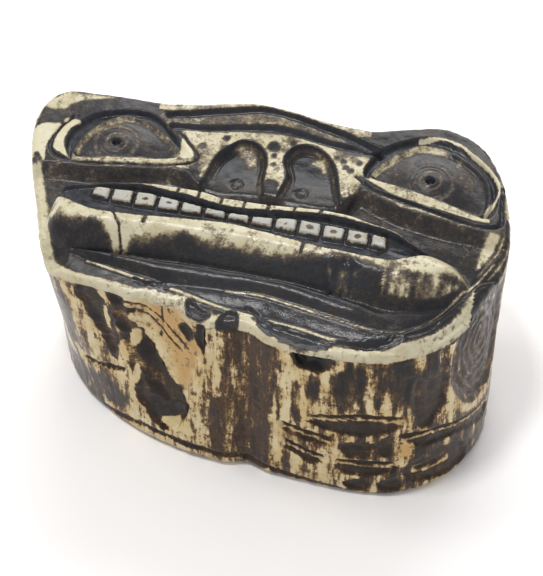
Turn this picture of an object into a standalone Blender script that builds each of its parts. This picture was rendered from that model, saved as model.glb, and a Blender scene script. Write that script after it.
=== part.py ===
"""An ivory carving: a short section of tusk whose upper end is carved as a broad animal face.

The piece stands on its flat sawn base. X runs along the mouth, -Y is the chin side and +Z is up.
Blender works in metres. The outlines are drawn in millimetres on a face of DRAWN_LENGTH by
DRAWN_DEPTH, and they stretch with LENGTH, DEPTH and HEIGHT. Depths and widths of cuts do not.
"""

import math

import bmesh
import bpy
import numpy as np

# Overall sizes, in metres, and the slope of the carved end towards the chin, in degrees
LENGTH = 0.066
DEPTH = 0.0372
HEIGHT = 0.0318
FACE_TILT = 7.0
BASE_EDGE_RADIUS = 0.0012
RIM_EDGE_RADIUS = 0.0009

# Mouth and lips, in metres
LIP_RISE = 0.0026
FRONT_LIP_ROLL = 0.0036
BACK_LIP_ROLL = 0.0009
MOUTH_DEPTH = 0.0011
TEETH_BELOW_LIPS = 0.0003
TOOTH_PITCH = 0.00312
TOOTH_GAP = 0.0007
TOOTH_GAPS = 12

# Eyes, nostrils and brow, in metres
UPPER_FACE_RISE = 0.0010
LID_SLOPE_WIDTH = 0.0020
SOCKET_DEPTH = 0.0008
EYE_DEPTH = 0.0007
EYEBALL_RISE = 0.0005
IRIS_RADIUS = 0.0029
IRIS_RING_WIDTH = 0.0006
IRIS_RING_DEPTH = 0.0003
PUPIL_RADIUS = 0.0006
PUPIL_DEPTH = 0.0009
NOSTRIL_DEPTH = 0.0010
BROW_GROOVE_WIDTH = 0.0014
BROW_GROOVE_DEPTH = 0.0008
EYE_LINE_WIDTH = 0.0006
EYE_LINE_DEPTH = 0.0004

# The groove over the lips, and the bands under them, in metres from the face's plane
GROOVE_LEVEL = -0.0006
CREASE_LEVEL = -0.0009
CHIN_BAND_RISE = 0.0009
CHIN_FOOT_LEVEL = -0.0012
RIM_LEVEL = -0.0016
CORD_RISE = 0.0009
CORD_WIDTH = 0.0022
CORNER_NOTCH_DEPTH = 0.0018

# The wall, in metres
VALLEY_DEPTH = 0.0008
VALLEY_WIDTH = 0.0070
FLAKE_SCAR_DEPTH = 0.0012
PIT_DEPTH = 0.0006
PIT_WIDTH = 0.0024
KNOT_DEPTH = 0.0006
CUT_DEPTH = 0.0005
CUT_HEIGHT = 0.0016

# Rows and columns of the carved surface before it is thinned, and the share of triangles that is kept
FACE_COLUMNS = 180
FACE_ROWS = 130
WALL_ROWS = 56
KEPT_SHARE = 0.083

# The size that the outlines below are drawn at, in millimetres
DRAWN_LENGTH = 66.0
DRAWN_DEPTH = 37.2
DRAWN_HEIGHT = 31.8

# Plan of the sawn base and of the carved end, from the left end round by the front
BASE_OUTLINE = [
    (-30.5, 5.0), (-28.6, -1.0), (-25.6, -6.2), (-21.4, -10.2), (-14.4, -14.2), (-8.1, -16.3),
    (-2.2, -17.3), (3.8, -17.7), (9.2, -18.3), (14.8, -18.7), (20.3, -18.4), (24.6, -16.9),
    (28.4, -14.0), (31.2, -10.0), (32.7, -6.0), (33.0, -1.0), (32.0, 6.0), (28.6, 12.6),
    (21.0, 16.6), (10.0, 17.0), (0.0, 17.4), (-10.0, 17.0), (-20.0, 16.2), (-27.6, 12.4),
]
RIM_OUTLINE = [
    (-32.0, 4.0), (-29.4, -3.0), (-27.2, -8.6), (-24.4, -11.9), (-18.4, -13.2), (-11.0, -14.6),
    (-4.5, -16.2), (1.5, -16.9), (5.0, -17.8), (9.5, -18.4), (15.1, -18.4), (21.1, -17.2),
    (25.8, -14.4), (29.2, -10.2), (31.6, -5.0), (32.6, 0.5), (32.0, 5.6), (30.6, 11.0),
    (27.4, 16.0), (22.7, 18.2), (18.0, 17.6), (12.9, 16.4), (6.0, 17.0), (-3.0, 18.2),
    (-10.0, 17.6), (-17.0, 16.6), (-25.0, 16.8), (-30.8, 16.4), (-33.0, 13.6), (-33.2, 9.0),
]

# The lips are one raised bar; the mouth is cut in its top, and the teeth stand in the mouth
LIPS = [
    (-27.6, -3.4), (-26.8, -1.8), (-25.2, -0.5), (-20.5, 0.7), (-14.4, 1.3), (-9.0, 1.1),
    (-4.3, 0.6), (3.5, 0.6), (8.5, 0.8), (13.7, 0.0), (20.6, -1.7), (24.2, -2.8), (26.9, -4.2),
    (28.1, -6.4), (26.9, -8.7), (23.8, -10.4), (19.2, -11.2), (14.0, -10.6), (8.0, -9.6),
    (1.4, -8.9), (-6.0, -8.6), (-14.0, -8.6), (-21.0, -8.9), (-25.4, -8.1), (-27.4, -6.0),
]
MOUTH = [
    (-26.7, -1.9), (-23.0, -0.3), (-17.5, 0.3), (-10.7, -0.3), (-3.8, -1.4), (3.0, -1.0),
    (8.5, -0.6), (13.8, -1.2), (20.7, -2.5), (24.3, -3.3), (22.1, -4.7), (17.9, -6.3),
    (11.3, -6.0), (4.6, -5.2), (-2.2, -4.2), (-8.6, -4.4), (-17.0, -4.8), (-21.3, -4.7),
    (-24.6, -3.6),
]
TEETH_TOP = [
    (-22.5, -1.3), (-20.8, -0.8), (-14.0, -0.8), (-6.2, -1.9), (0.0, -2.1), (6.3, -1.8), (17.4, -2.7),
]
TEETH_FOOT = [(-22.5, -2.0), (-19.6, -2.4), (-12.9, -2.8), (-2.9, -2.9), (5.0, -3.6), (17.4, -4.3)]
FIRST_TOOTH_GAP = -19.3

# The front edge of the upper face: the lower lids, with the foot of the nose between them
UPPER_FACE_EDGE = [
    (-36.0, 2.2), (-30.0, 3.4), (-20.0, 4.0), (-15.0, 5.0), (-11.0, 5.0), (-8.0, 2.8), (1.0, 2.8),
    (9.6, 2.6), (12.4, 5.6), (15.2, 4.6), (20.0, 3.0), (30.6, 1.4), (36.0, 0.6),
]
LEFT_EYE = [
    (-25.8, 4.7), (-26.4, 6.5), (-24.9, 9.9), (-21.9, 12.5), (-19.7, 12.8), (-17.1, 12.1),
    (-14.0, 9.8), (-12.2, 7.3), (-15.6, 6.0), (-20.1, 5.3),
]
LEFT_SOCKET = [
    (-26.0, 4.2), (-27.8, 6.2), (-27.8, 9.6), (-25.2, 12.8), (-21.0, 14.2), (-17.3, 14.0),
    (-14.0, 11.2), (-11.9, 7.9), (-13.4, 6.6), (-19.0, 5.4),
]
RIGHT_EYE = [
    (13.4, 8.0), (15.4, 11.4), (18.5, 13.9), (20.8, 14.4), (24.6, 13.2), (28.3, 10.3), (29.3, 6.8),
    (28.6, 4.1), (26.2, 4.3), (20.8, 5.5), (16.6, 6.7),
]
RIGHT_SOCKET = [
    (12.6, 8.0), (13.4, 11.6), (16.2, 14.5), (20.5, 16.1), (25.3, 14.7), (29.2, 11.2), (30.4, 8.0),
    (30.0, 4.4), (28.6, 3.5), (24.3, 4.7), (17.3, 6.3),
]
LEFT_PUPIL = (-21.2, 8.2)
RIGHT_PUPIL = (21.3, 8.2)
LEFT_EYE_LINE = [
    (-12.6, 11.1), (-9.8, 7.3), (-13.3, 5.7), (-22.0, 4.3), (-28.0, 4.5), (-29.9, 6.2), (-29.5, 9.5),
    (-27.9, 12.1),
]
RIGHT_EYE_LINE = [(11.5, 7.8), (15.2, 5.4), (24.5, 2.9), (30.6, 2.3), (31.0, 5.6), (30.6, 9.0)]
LEFT_NOSTRIL = [
    (-8.3, 1.0), (-8.1, 5.2), (-7.3, 8.5), (-4.9, 11.3), (-2.6, 11.3), (-0.7, 9.3), (-0.3, 5.0),
    (-0.2, 1.0),
]
RIGHT_NOSTRIL = [
    (2.2, 1.0), (2.4, 6.0), (1.5, 9.2), (2.9, 11.7), (5.6, 12.0), (8.3, 9.6), (9.7, 5.2), (10.2, 1.0),
]
UPPER_BROW = [(-15.1, 14.5), (-6.0, 16.2), (-1.0, 16.6), (7.3, 15.1), (13.9, 12.4)]
LOWER_BROW = [(-14.4, 12.5), (-10.0, 12.7), (-1.6, 13.7), (2.9, 13.6), (8.3, 12.7), (13.9, 12.2)]

# The edge that the chin band and the cord end at, from left to right
CHIN_EDGE = [
    (-24.0, -9.0), (-20.5, -9.9), (-14.9, -11.0), (-9.0, -11.8), (-2.5, -11.8), (1.9, -11.8),
    (6.2, -12.4), (14.3, -14.1), (18.9, -14.5), (21.6, -13.8), (24.8, -11.2), (28.9, -5.6), (32.4, 0.5),
]
CORNER_NOTCH = (-25.8, -9.8)
CORNER_NOTCH_RADIUS = 3.0

# Swellings of the carved end: middle, radii along X and Y, and rise
SWELLINGS = [
    ((-21.0, 9.0), (9.0, 8.0), 0.5),
    ((21.5, 9.0), (9.0, 8.0), 0.9),
    ((-2.0, 16.0), (10.0, 6.0), 0.7),
]

# Marks on the wall: how far round from the middle of the front, and how high over the base
FLAKE_SCAR = [
    (-11.4, 31.6), (-4.6, 31.0), (-4.3, 24.7), (-5.0, 19.1), (-6.4, 13.1), (-7.0, 8.7), (-8.5, 4.2),
    (-10.4, 4.8), (-12.4, 10.1), (-14.0, 17.4), (-14.4, 24.5), (-13.2, 30.0),
]
PITS = [
    [(-20.0, 28.5), (-18.6, 24.8), (-17.8, 16.3)],
    [(-17.2, 28.5), (-14.8, 21.7), (-14.0, 15.4), (-12.6, 9.3), (-9.6, 4.8)],
]
VALLEY_PLACE = 1.6
KNOT = (36.5, 22.0)
KNOT_RADII = (7.4, 10.5)
CUTS = [
    [(6.4, 12.8), (14.5, 10.3)],
    [(7.8, 10.2), (14.6, 7.5)],
    [(9.8, 15.2), (23.5, 15.6)],
    [(11.7, 17.9), (22.8, 18.7)],
    [(21.6, 13.0), (29.0, 13.0), (39.3, 8.2)],
    [(14.0, 7.3), (24.4, 6.7)],
    [(-25.0, 11.3), (-15.4, 13.3)],
]

BARE_IVORY = (0.60, 0.49, 0.30, 1.0)
IVORY_ROUGHNESS = 0.35


def drawn(metres):
    """A size in metres, in the drawing's millimetres."""
    return metres * 1000.0


def ease(start, end, value):
    """A smooth step from 0 at start to 1 at end."""
    t = np.clip((value - start) / (end - start), 0.0, 1.0)
    return t * t * (3.0 - 2.0 * t)


def smooth_line(points, steps=5, closed=False):
    """A Catmull-Rom curve through the given points, as short straight pieces."""
    p = np.array(points, float)
    if closed:
        p = np.vstack([p[-1], p, p[0], p[1]])
    else:
        p = np.vstack([2 * p[0] - p[1], p, 2 * p[-1] - p[-2]])
    found = []
    for a, b, c, d in zip(p[:-3], p[1:-2], p[2:-1], p[3:]):
        for t in np.arange(steps) / steps:
            bend = (2 * a - 5 * b + 4 * c - d) * t**2 + (3 * b - a - 3 * c + d) * t**3
            found.append(0.5 * (2 * b + (c - a) * t + bend))
    found.append(p[-2])
    return np.array(found)


def distance_to(line, x, y):
    """How far each point is from a line of straight pieces."""
    nearest = np.full(x.shape, np.inf)
    for (ax, ay), (bx, by) in zip(line[:-1], line[1:]):
        dx, dy = bx - ax, by - ay
        t = np.clip(((x - ax) * dx + (y - ay) * dy) / (dx * dx + dy * dy + 1e-12), 0.0, 1.0)
        nearest = np.minimum(nearest, np.hypot(x - ax - t * dx, y - ay - t * dy))
    return nearest


def depth_inside(points, x, y):
    """How far each point is inside a smooth closed outline; negative outside it."""
    line = smooth_line(points, closed=True)
    inside = np.zeros(x.shape, bool)
    for (ax, ay), (bx, by) in zip(line[:-1], line[1:]):
        if ay != by:
            crosses = (ay > y) != (by > y)
            inside ^= crosses & (x < ax + (bx - ax) * (y - ay) / (by - ay))
    distance = distance_to(line, x, y)
    return np.where(inside, distance, -distance)


def line_height(points, x):
    """The Y of a smooth line that runs along X, at each x."""
    line = smooth_line(points)
    return np.interp(x, line[:, 0], line[:, 1])


def groove(points, x, y, width, depth):
    """The depth of a rounded groove along a smooth line."""
    distance = distance_to(smooth_line(points), x, y)
    return drawn(depth) * ease(drawn(width) * 0.65, drawn(width) * 0.1, distance)


def chin_distance(x, y):
    """How far each point is behind the edge of the chin, on the face's side; negative on the rim's side."""
    left, right = CHIN_EDGE[0], CHIN_EDGE[-1]
    beyond = left[0] - DRAWN_LENGTH / 4
    behind = [(right[0], DRAWN_DEPTH), (beyond, DRAWN_DEPTH), (beyond, left[1])]
    return depth_inside(CHIN_EDGE + behind, x, y)


def ground_level(x, y, in_lips):
    """The level round the lips: the groove behind them, the chin band and the cord before them."""
    front = ease(-1.0, -5.0, y)
    level = drawn(GROOVE_LEVEL) + (drawn(CREASE_LEVEL) - drawn(GROOVE_LEVEL)) * front

    to_edge = chin_distance(x, y)
    from_lips = np.maximum(-in_lips, 0.0)
    across = from_lips / np.maximum(from_lips + np.maximum(to_edge, 0.0), 1e-6)
    band = ease(-25.0, -20.0, x) * ease(20.0, 13.0, x) * front
    foot = drawn(CHIN_FOOT_LEVEL) - drawn(CREASE_LEVEL)
    level = level + band * drawn(CHIN_BAND_RISE) * ease(0.0, 0.3, across) * ease(1.25, 0.4, across)
    level = level + front * foot * ease(0.5, 1.0, across)

    past = np.maximum(-to_edge, 0.0)
    rim = drawn(RIM_LEVEL) - drawn(CHIN_FOOT_LEVEL)
    level = level + np.where(to_edge < 0.0, rim * ease(0.0, 2.5, past), 0.0)
    along = np.clip(past / drawn(CORD_WIDTH), 0.0, 1.0)
    cord = ease(13.0, 22.0, x) * drawn(CORD_RISE) * np.sqrt(np.maximum(4.0 * along * (1.0 - along), 0.0))
    return level + np.where(to_edge < 0.0, cord, 0.0)


def lip_swell(y, in_lips):
    """The share of the lips' rise: steep at the back, and rolled over at the front."""
    roll = drawn(BACK_LIP_ROLL) + drawn(FRONT_LIP_ROLL - BACK_LIP_ROLL) * ease(-1.5, -4.0, y)
    return 1.0 - (1.0 - np.clip(in_lips / roll, 0.0, 1.0)) ** 2


def mouth_cut(x, y):
    """The depth of the mouth, with a row of teeth left standing in it."""
    open_share = ease(0.0, 0.6, depth_inside(MOUTH, x, y))
    row = ease(-0.15, 0.25, np.minimum(line_height(TEETH_TOP, x) - y, y - line_height(TEETH_FOOT, x)))
    row = row * ease(-22.4, -21.2, x) * ease(17.6, 16.6, x)
    for gap in range(TOOTH_GAPS):
        place = FIRST_TOOTH_GAP + gap * drawn(TOOTH_PITCH)
        row = row * ease(drawn(TOOTH_GAP) * 0.15, drawn(TOOTH_GAP) * 0.65, np.abs(x - place))
    floor = drawn(MOUTH_DEPTH)
    return open_share * (floor - row * (floor - drawn(TEETH_BELOW_LIPS)))


def eye_cut(eye, socket, pupil, x, y):
    """The depth of one eye: the socket's groove, a sunk eyeball, the iris's rings and a drilled pupil."""
    in_eye = depth_inside(eye, x, y)
    in_socket = depth_inside(socket, x, y)
    radius = np.hypot(x - pupil[0], y - pupil[1])
    iris = drawn(IRIS_RADIUS)
    cut = drawn(SOCKET_DEPTH) * ease(0.0, 0.5, in_socket) * ease(-0.1, -0.6, in_eye)
    dome = drawn(EYEBALL_RISE) * ease(2.4 * iris, 0.0, radius)
    rings = ease(drawn(IRIS_RING_WIDTH), 0.0, np.abs(radius - iris))
    rings = rings + 0.7 * ease(drawn(IRIS_RING_WIDTH), 0.0, np.abs(radius - iris * 0.55))
    hole = drawn(PUPIL_DEPTH) * ease(drawn(PUPIL_RADIUS) * 1.3, drawn(PUPIL_RADIUS) * 0.5, radius)
    ball = drawn(EYE_DEPTH) - dome + drawn(IRIS_RING_DEPTH) * rings + hole
    return cut + ease(0.15, 0.7, in_eye) * ball


def nostril_cut(outline, x, y):
    """The depth of one nostril, which is deepest under its arch."""
    share = ease(0.0, 0.9, depth_inside(outline, x, y))
    return drawn(NOSTRIL_DEPTH) * share * (0.6 + 0.4 * ease(3.0, 9.0, y))


def upper_face(x, y):
    """The level of the brow, eyes and nose over the groove, and how much of it stands at each point."""
    from_edge = y - line_height(UPPER_FACE_EDGE, x)
    share = ease(-drawn(LID_SLOPE_WIDTH), 0.3, from_edge)
    level = np.full(x.shape, drawn(UPPER_FACE_RISE))
    for (cx, cy), (rx, ry), rise in SWELLINGS:
        level = level + rise * ease(1.0, 0.0, np.hypot((x - cx) / rx, (y - cy) / ry))
    for outline in (LEFT_NOSTRIL, RIGHT_NOSTRIL):
        level = level - nostril_cut(outline, x, y)
    level = level - eye_cut(LEFT_EYE, LEFT_SOCKET, LEFT_PUPIL, x, y)
    level = level - eye_cut(RIGHT_EYE, RIGHT_SOCKET, RIGHT_PUPIL, x, y)
    for line in (LEFT_EYE_LINE, RIGHT_EYE_LINE):
        level = level - groove(line, x, y, EYE_LINE_WIDTH, EYE_LINE_DEPTH)
    for line in (UPPER_BROW, LOWER_BROW):
        level = level - groove(line, x, y, BROW_GROOVE_WIDTH, BROW_GROOVE_DEPTH)
    return level, share


def carved_level(x, y):
    """The level of the whole carved face over its sloping plane."""
    in_lips = depth_inside(LIPS, x, y)
    ground = ground_level(x, y, in_lips)
    upper, share = upper_face(x, y)
    level = ground + (upper - ground) * share
    notch = np.hypot(x - CORNER_NOTCH[0], y - CORNER_NOTCH[1]) / CORNER_NOTCH_RADIUS
    level = level - drawn(CORNER_NOTCH_DEPTH) * ease(1.0, 0.0, notch)
    level = level + (drawn(LIP_RISE) - level) * lip_swell(y, in_lips)
    return level - mouth_cut(x, y)


def outline_radius(outline, bearing):
    """The distance from the axis to a smooth closed outline, at each bearing."""
    line = smooth_line(outline, closed=True)[:-1]
    angles = np.arctan2(line[:, 1], line[:, 0])
    order = np.argsort(angles)
    return np.interp(bearing, angles[order], np.hypot(line[:, 0], line[:, 1])[order], period=2 * math.pi)


def way_round(bearing):
    """How far round the wall each bearing is from the middle of the front; positive to the right."""
    turn = np.linspace(-math.pi, math.pi, 721)
    radius = 0.5 * (outline_radius(BASE_OUTLINE, turn) + outline_radius(RIM_OUTLINE, turn))
    steps = np.hypot(np.diff(radius * np.cos(turn)), np.diff(radius * np.sin(turn)))
    length = np.concatenate([[0.0], np.cumsum(steps)])
    front = np.interp(-math.pi / 2, turn, length)
    return np.interp(bearing, turn, length - front)


def chop_cut(line, around, rise):
    """The depth of one chop: sharp along its upper edge, and running out below it."""
    path = np.array(line)
    drop = np.interp(around, path[:, 0], path[:, 1]) - rise
    ends = np.minimum(around - path[0, 0], path[-1, 0] - around)
    height = drawn(CUT_HEIGHT)
    share = ease(0.0, 1.5, ends) * ease(-0.15, 0.15, drop) * ease(height, 0.3 * height, drop)
    return drawn(CUT_DEPTH) * share


def wall_marks(around, rise):
    """How deep the wall's valley, flake scar, pits, knot and chops go, at places on the wall."""
    depth = drawn(VALLEY_DEPTH) * ease(drawn(VALLEY_WIDTH) / 2, 0.0, np.abs(around - VALLEY_PLACE))
    depth = depth + drawn(FLAKE_SCAR_DEPTH) * ease(0.0, 1.6, depth_inside(FLAKE_SCAR, around, rise))
    for pit in PITS:
        depth = depth + groove(pit, around, rise, PIT_WIDTH, PIT_DEPTH)
    from_knot = np.hypot((around - KNOT[0]) / KNOT_RADII[0], (rise - KNOT[1]) / KNOT_RADII[1])
    depth = depth + drawn(KNOT_DEPTH) * ease(1.0, 0.8, from_knot)
    for cut in CUTS:
        depth = depth + chop_cut(cut, around, rise)
    return depth


def wall_radius(bearing, rise):
    """The distance from the axis to the wall, at each bearing and height over the base."""
    base = outline_radius(BASE_OUTLINE, bearing)
    rim = outline_radius(RIM_OUTLINE, bearing)
    radius = base + (rim - base) * ease(0.0, DRAWN_HEIGHT, rise)
    edge = drawn(BASE_EDGE_RADIUS)
    below = np.clip(1.0 - rise / edge, 0.0, 1.0)
    return radius - wall_marks(way_round(bearing), rise) - edge * (1.0 - np.sqrt(1.0 - below**2))


def face_height(x, y, from_rim):
    """The height of the carved end over the base, with its rim rounded off."""
    edge = drawn(RIM_EDGE_RADIUS)
    near = np.clip(1.0 - from_rim / edge, 0.0, 1.0)
    plane = DRAWN_HEIGHT + math.tan(math.radians(FACE_TILT)) * y
    return plane + carved_level(x, y) - edge * (1.0 - np.sqrt(1.0 - near**2))


def rim_radius(bearing):
    """The distance from the axis to the rim, where the wall meets the carved end."""
    return wall_radius(bearing, np.full(bearing.shape, DRAWN_HEIGHT - drawn(RIM_EDGE_RADIUS)))


def place(vertices, x, y, z):
    """Puts the vertices at drawn places, stretched to the real size."""
    stretch = [LENGTH / DRAWN_LENGTH, DEPTH / DRAWN_DEPTH, HEIGHT / DRAWN_HEIGHT]
    for vertex, spot in zip(vertices, np.column_stack([x, y, z]) * stretch):
        vertex.co = spot


def square_to_disc(u, v):
    """Bends a square grid to the plan: the bearing of each point, and its share of the way to the rim."""
    share = np.maximum(np.abs(u), np.abs(v))
    wide = np.abs(u) >= np.abs(v)
    turn = np.where(wide, v, u) / np.maximum(share, 1e-9) * math.pi / 4
    along = np.where(wide, np.sign(u) * np.cos(turn), np.sin(turn))
    back = np.where(wide, np.sin(turn), np.sign(v) * np.cos(turn))
    return np.arctan2(back * DRAWN_DEPTH, along * DRAWN_LENGTH), share


def carve_face(bm):
    """The carved end, from a flat grid."""
    bmesh.ops.create_grid(bm, x_segments=FACE_COLUMNS, y_segments=FACE_ROWS, size=1.0)
    vertices = list(bm.verts)
    flat = np.array([vertex.co[:2] for vertex in vertices])
    bearing, share = square_to_disc(flat[:, 0], flat[:, 1])
    rim = rim_radius(bearing)
    x = share * rim * np.cos(bearing)
    y = share * rim * np.sin(bearing)
    place(vertices, x, y, face_height(x, y, (1.0 - share) * rim))
    return bearing[share > 1.0 - 1e-6], [v for v, s in zip(vertices, share) if s > 1.0 - 1e-6]


def drop_wall(bm, bearing, top_ring):
    """The wall, drawn down from the rim ring by ring to a little under the base."""
    rim = rim_radius(bearing)
    top = face_height(rim * np.cos(bearing), rim * np.sin(bearing), np.zeros(bearing.shape))
    foot = -drawn(BASE_EDGE_RADIUS)
    ring = top_ring
    for row in range(1, WALL_ROWS + 1):
        edges = {edge for vertex in ring for edge in vertex.link_edges if edge.is_boundary}
        made = bmesh.ops.extrude_edge_only(bm, edges=list(edges))["geom"]
        fresh = [item for item in made if isinstance(item, bmesh.types.BMVert)]
        above = {vertex: order for order, vertex in enumerate(ring)}
        ring = sorted(fresh, key=lambda vertex: upper_neighbour(vertex, above))
        height = top + (foot - top) * row / WALL_ROWS
        radius = wall_radius(bearing, height)
        place(ring, radius * np.cos(bearing), radius * np.sin(bearing), height)


def upper_neighbour(vertex, above):
    """The order, in the ring above, of the vertex that this one was drawn down from."""
    return next(above[other] for edge in vertex.link_edges for other in edge.verts if other in above)


def thin_out(obj):
    """The object's mesh, thinned to the share of its triangles that the solid keeps."""
    thinner = obj.modifiers.new("Thin out", "DECIMATE")
    thinner.ratio = KEPT_SHARE
    mesh = bpy.data.meshes.new_from_object(obj.evaluated_get(bpy.context.evaluated_depsgraph_get()))
    obj.modifiers.remove(thinner)
    return mesh


def saw_off_base(mesh):
    """Cuts the mesh off flat at the base and closes it."""
    bm = bmesh.new()
    bm.from_mesh(mesh)
    everything = bm.verts[:] + bm.edges[:] + bm.faces[:]
    bmesh.ops.bisect_plane(bm, geom=everything, plane_co=(0, 0, 0), plane_no=(0, 0, 1), clear_inner=True)
    bmesh.ops.holes_fill(bm, edges=[edge for edge in bm.edges if edge.is_boundary], sides=0)
    bmesh.ops.recalc_face_normals(bm, faces=bm.faces[:])
    bm.to_mesh(mesh)
    bm.free()


def ivory_material():
    """Bare ivory, as on the worn high places."""
    material = bpy.data.materials.new("ivory")
    material.use_nodes = True
    shader = material.node_tree.nodes["Principled BSDF"]
    shader.inputs["Base Color"].default_value = BARE_IVORY
    shader.inputs["Roughness"].default_value = IVORY_ROUGHNESS
    shader.inputs["Metallic"].default_value = 0.0
    return material


def main():
    for old in list(bpy.data.objects):
        bpy.data.objects.remove(old)
    collection = bpy.data.collections.new("ivory_carving")
    bpy.context.scene.collection.children.link(collection)

    bm = bmesh.new()
    bearing, ring = carve_face(bm)
    drop_wall(bm, bearing, ring)
    mesh = bpy.data.meshes.new("carved_tusk")
    bm.to_mesh(mesh)
    bm.free()

    obj = bpy.data.objects.new("carved_tusk", mesh)
    collection.objects.link(obj)
    obj.data = thin_out(obj)
    saw_off_base(obj.data)
    obj.data.materials.append(ivory_material())


main()
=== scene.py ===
"""The looks of an ivory carving: a block of tusk whose upper end is a broad animal face.

The CAD solid gives the box. One fine mesh stands for it, made from the same outlines with finer
relief, and one procedural material colours it from fields that are worked out with the relief.
Outlines are in millimetres on the carved face: X along the mouth, Y away from the chin.
"""

import math

import bpy
import numpy as np
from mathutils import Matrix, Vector


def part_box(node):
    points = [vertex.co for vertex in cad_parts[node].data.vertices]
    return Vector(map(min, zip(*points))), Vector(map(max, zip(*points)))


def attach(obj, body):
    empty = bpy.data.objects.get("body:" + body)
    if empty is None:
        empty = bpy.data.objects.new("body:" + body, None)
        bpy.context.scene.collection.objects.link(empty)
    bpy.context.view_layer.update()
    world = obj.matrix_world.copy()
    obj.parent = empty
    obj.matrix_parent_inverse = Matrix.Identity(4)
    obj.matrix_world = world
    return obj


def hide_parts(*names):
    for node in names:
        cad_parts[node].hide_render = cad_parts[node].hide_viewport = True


NODE = "carved_tusk"
# The tones that the mesh hands to the material; slate is a painted bluish sheen, not a colour of the
# ivory
TONES = ("streaky", "enamel", "orange", "painted_sheen", "rust", "brownness")
MM = 0.001

# The camera, at the photograph's angle: place in millimetres, direction, and lens
CAMERA_PLACE = (28.4, -137.36, 168.37)
CAMERA_AZIMUTH = 11.0
CAMERA_ELEVATION = 47.0
LENS = 93.75
SENSOR = 36.0
CAMERA_NEAR = 0.01

# Rows and columns of the fine mesh; the wall has half as many columns as the face's rim
FACE_COLUMNS = 300
FACE_ROWS = 190
WALL_ROWS = 84

# How far the CAD solid's size may differ before the mesh is stretched to it
BOX_TOLERANCE = 0.02

# Overall form, in millimetres and degrees
RIM_HEIGHT = 31.8
FACE_TILT = 7.0
BASE_EDGE = 1.2
RIM_EDGE = 0.9
BASE_OUTLINE = [
    (-30.5, 5), (-28.6, -1), (-25.6, -6.2), (-21.4, -10.2), (-14.4, -14.2), (-8.1, -16.3),
    (-2.2, -17.3), (3.8, -17.7), (9.2, -18.3), (14.8, -18.7), (20.3, -18.4), (24.6, -16.9),
    (28.4, -14), (31.2, -10), (32.7, -6), (33, -1), (32, 6), (28.6, 12.6), (21, 16.6), (10, 17),
    (0, 17.4), (-10, 17), (-20, 16.2), (-27.6, 12.4),
]
RIM_OUTLINE = [
    (-32, 4), (-29.4, -3), (-27.2, -8.6), (-24.4, -11.9), (-18.4, -13.2), (-11, -14.6), (-4.5, -16.2),
    (1.5, -16.9), (5, -17.8), (9.5, -18.4), (15.1, -18.4), (21.1, -17.2), (25.8, -14.4), (29.2, -10.2),
    (31.6, -5), (32.6, 0.5), (32, 5.6), (30.6, 11), (27.4, 16), (22.7, 18.2), (18, 17.6), (12.9, 16.4),
    (6, 17), (-3, 18.2), (-10, 17.6), (-17, 16.6), (-25, 16.8), (-30.8, 16.4), (-33, 13.6), (-33.2, 9),
]
FACE_LENGTH = 66.0
FACE_DEPTH = 37.2

# Levels over the face's plane
LIP_RISE = 2.6
FRONT_LIP_ROLL = 3.6
BACK_LIP_ROLL = 0.9
MOUTH_DEPTH = 1.1
TEETH_BELOW_LIPS = 0.3
UPPER_FACE_RISE = 1.0
LID_SLOPE = 2.0
GROOVE_LEVEL = -0.6
CREASE_LEVEL = -0.9
CHIN_BAND_RISE = 0.9
CHIN_FOOT_LEVEL = -1.2
RIM_LEVEL = -1.6
CORD_RISE = 0.9
CORD_WIDTH = 2.2
CORD_LINE_PITCH = 0.75
CORD_LINE_DEPTH = 0.14
SOCKET_DEPTH = 0.8
EYEBALL_DEPTH = 0.7
EYEBALL_SWELL = 0.5
IRIS_RING_DEPTH = 0.16
PUPIL_DEPTH = 0.9
EYE_LINE_DEPTH = 0.4
UPPER_BROW_DEPTH = 0.8
LOWER_BROW_DEPTH = 0.7
NOSTRIL_LINE_DEPTH = 0.22
NOSTRIL_RING_DEPTH = 0.25
NOTCH_DEPTH = 1.8
LIP_CRACK_DEPTH = 0.25
LIP_CHIP_DEPTH = 0.45
CHIN_LINE_RISE = 0.18
RIM_LINE_RISE = 0.2
RIM_FACET_DEPTH = 0.3

LIPS = [
    (-27.6, -3.4), (-26.8, -1.8), (-25.2, -0.5), (-20.5, 0.7), (-14.4, 1.3), (-9, 1.1), (-4.3, 0.6),
    (3.5, 0.6), (8.5, 0.8), (13.7, 0), (20.6, -1.7), (24.2, -2.8), (26.9, -4.2), (28.1, -6.4),
    (26.9, -8.7), (23.8, -10.4), (19.2, -11.2), (14, -10.6), (8, -9.6), (1.4, -8.9), (-6, -8.6),
    (-14, -8.6), (-21, -8.9), (-25.4, -8.1), (-27.4, -6),
]
MOUTH = [
    (-26.7, -1.9), (-23, -0.3), (-17.5, 0.3), (-10.7, -0.3), (-3.8, -1.4), (3, -1), (8.5, -0.6),
    (13.8, -1.2), (20.7, -2.5), (24.3, -3.3), (22.1, -4.7), (17.9, -6.3), (11.3, -6), (4.6, -5.2),
    (-2.2, -4.2), (-8.6, -4.4), (-17, -4.8), (-21.3, -4.7), (-24.6, -3.6),
]
TEETH_TOP = [
    (-22.5, -1.3), (-20.8, -0.8), (-14, -0.8), (-6.2, -1.9), (0, -2.1), (6.3, -1.8), (17.4, -2.7),
]
TEETH_FOOT = [(-22.5, -2), (-19.6, -2.4), (-12.9, -2.8), (-2.9, -2.9), (5, -3.6), (17.4, -4.3)]
FIRST_TOOTH_GAP = -19.3
TOOTH_PITCH = 3.12
TOOTH_GAP = 0.7
TOOTH_GAPS = 12

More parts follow.
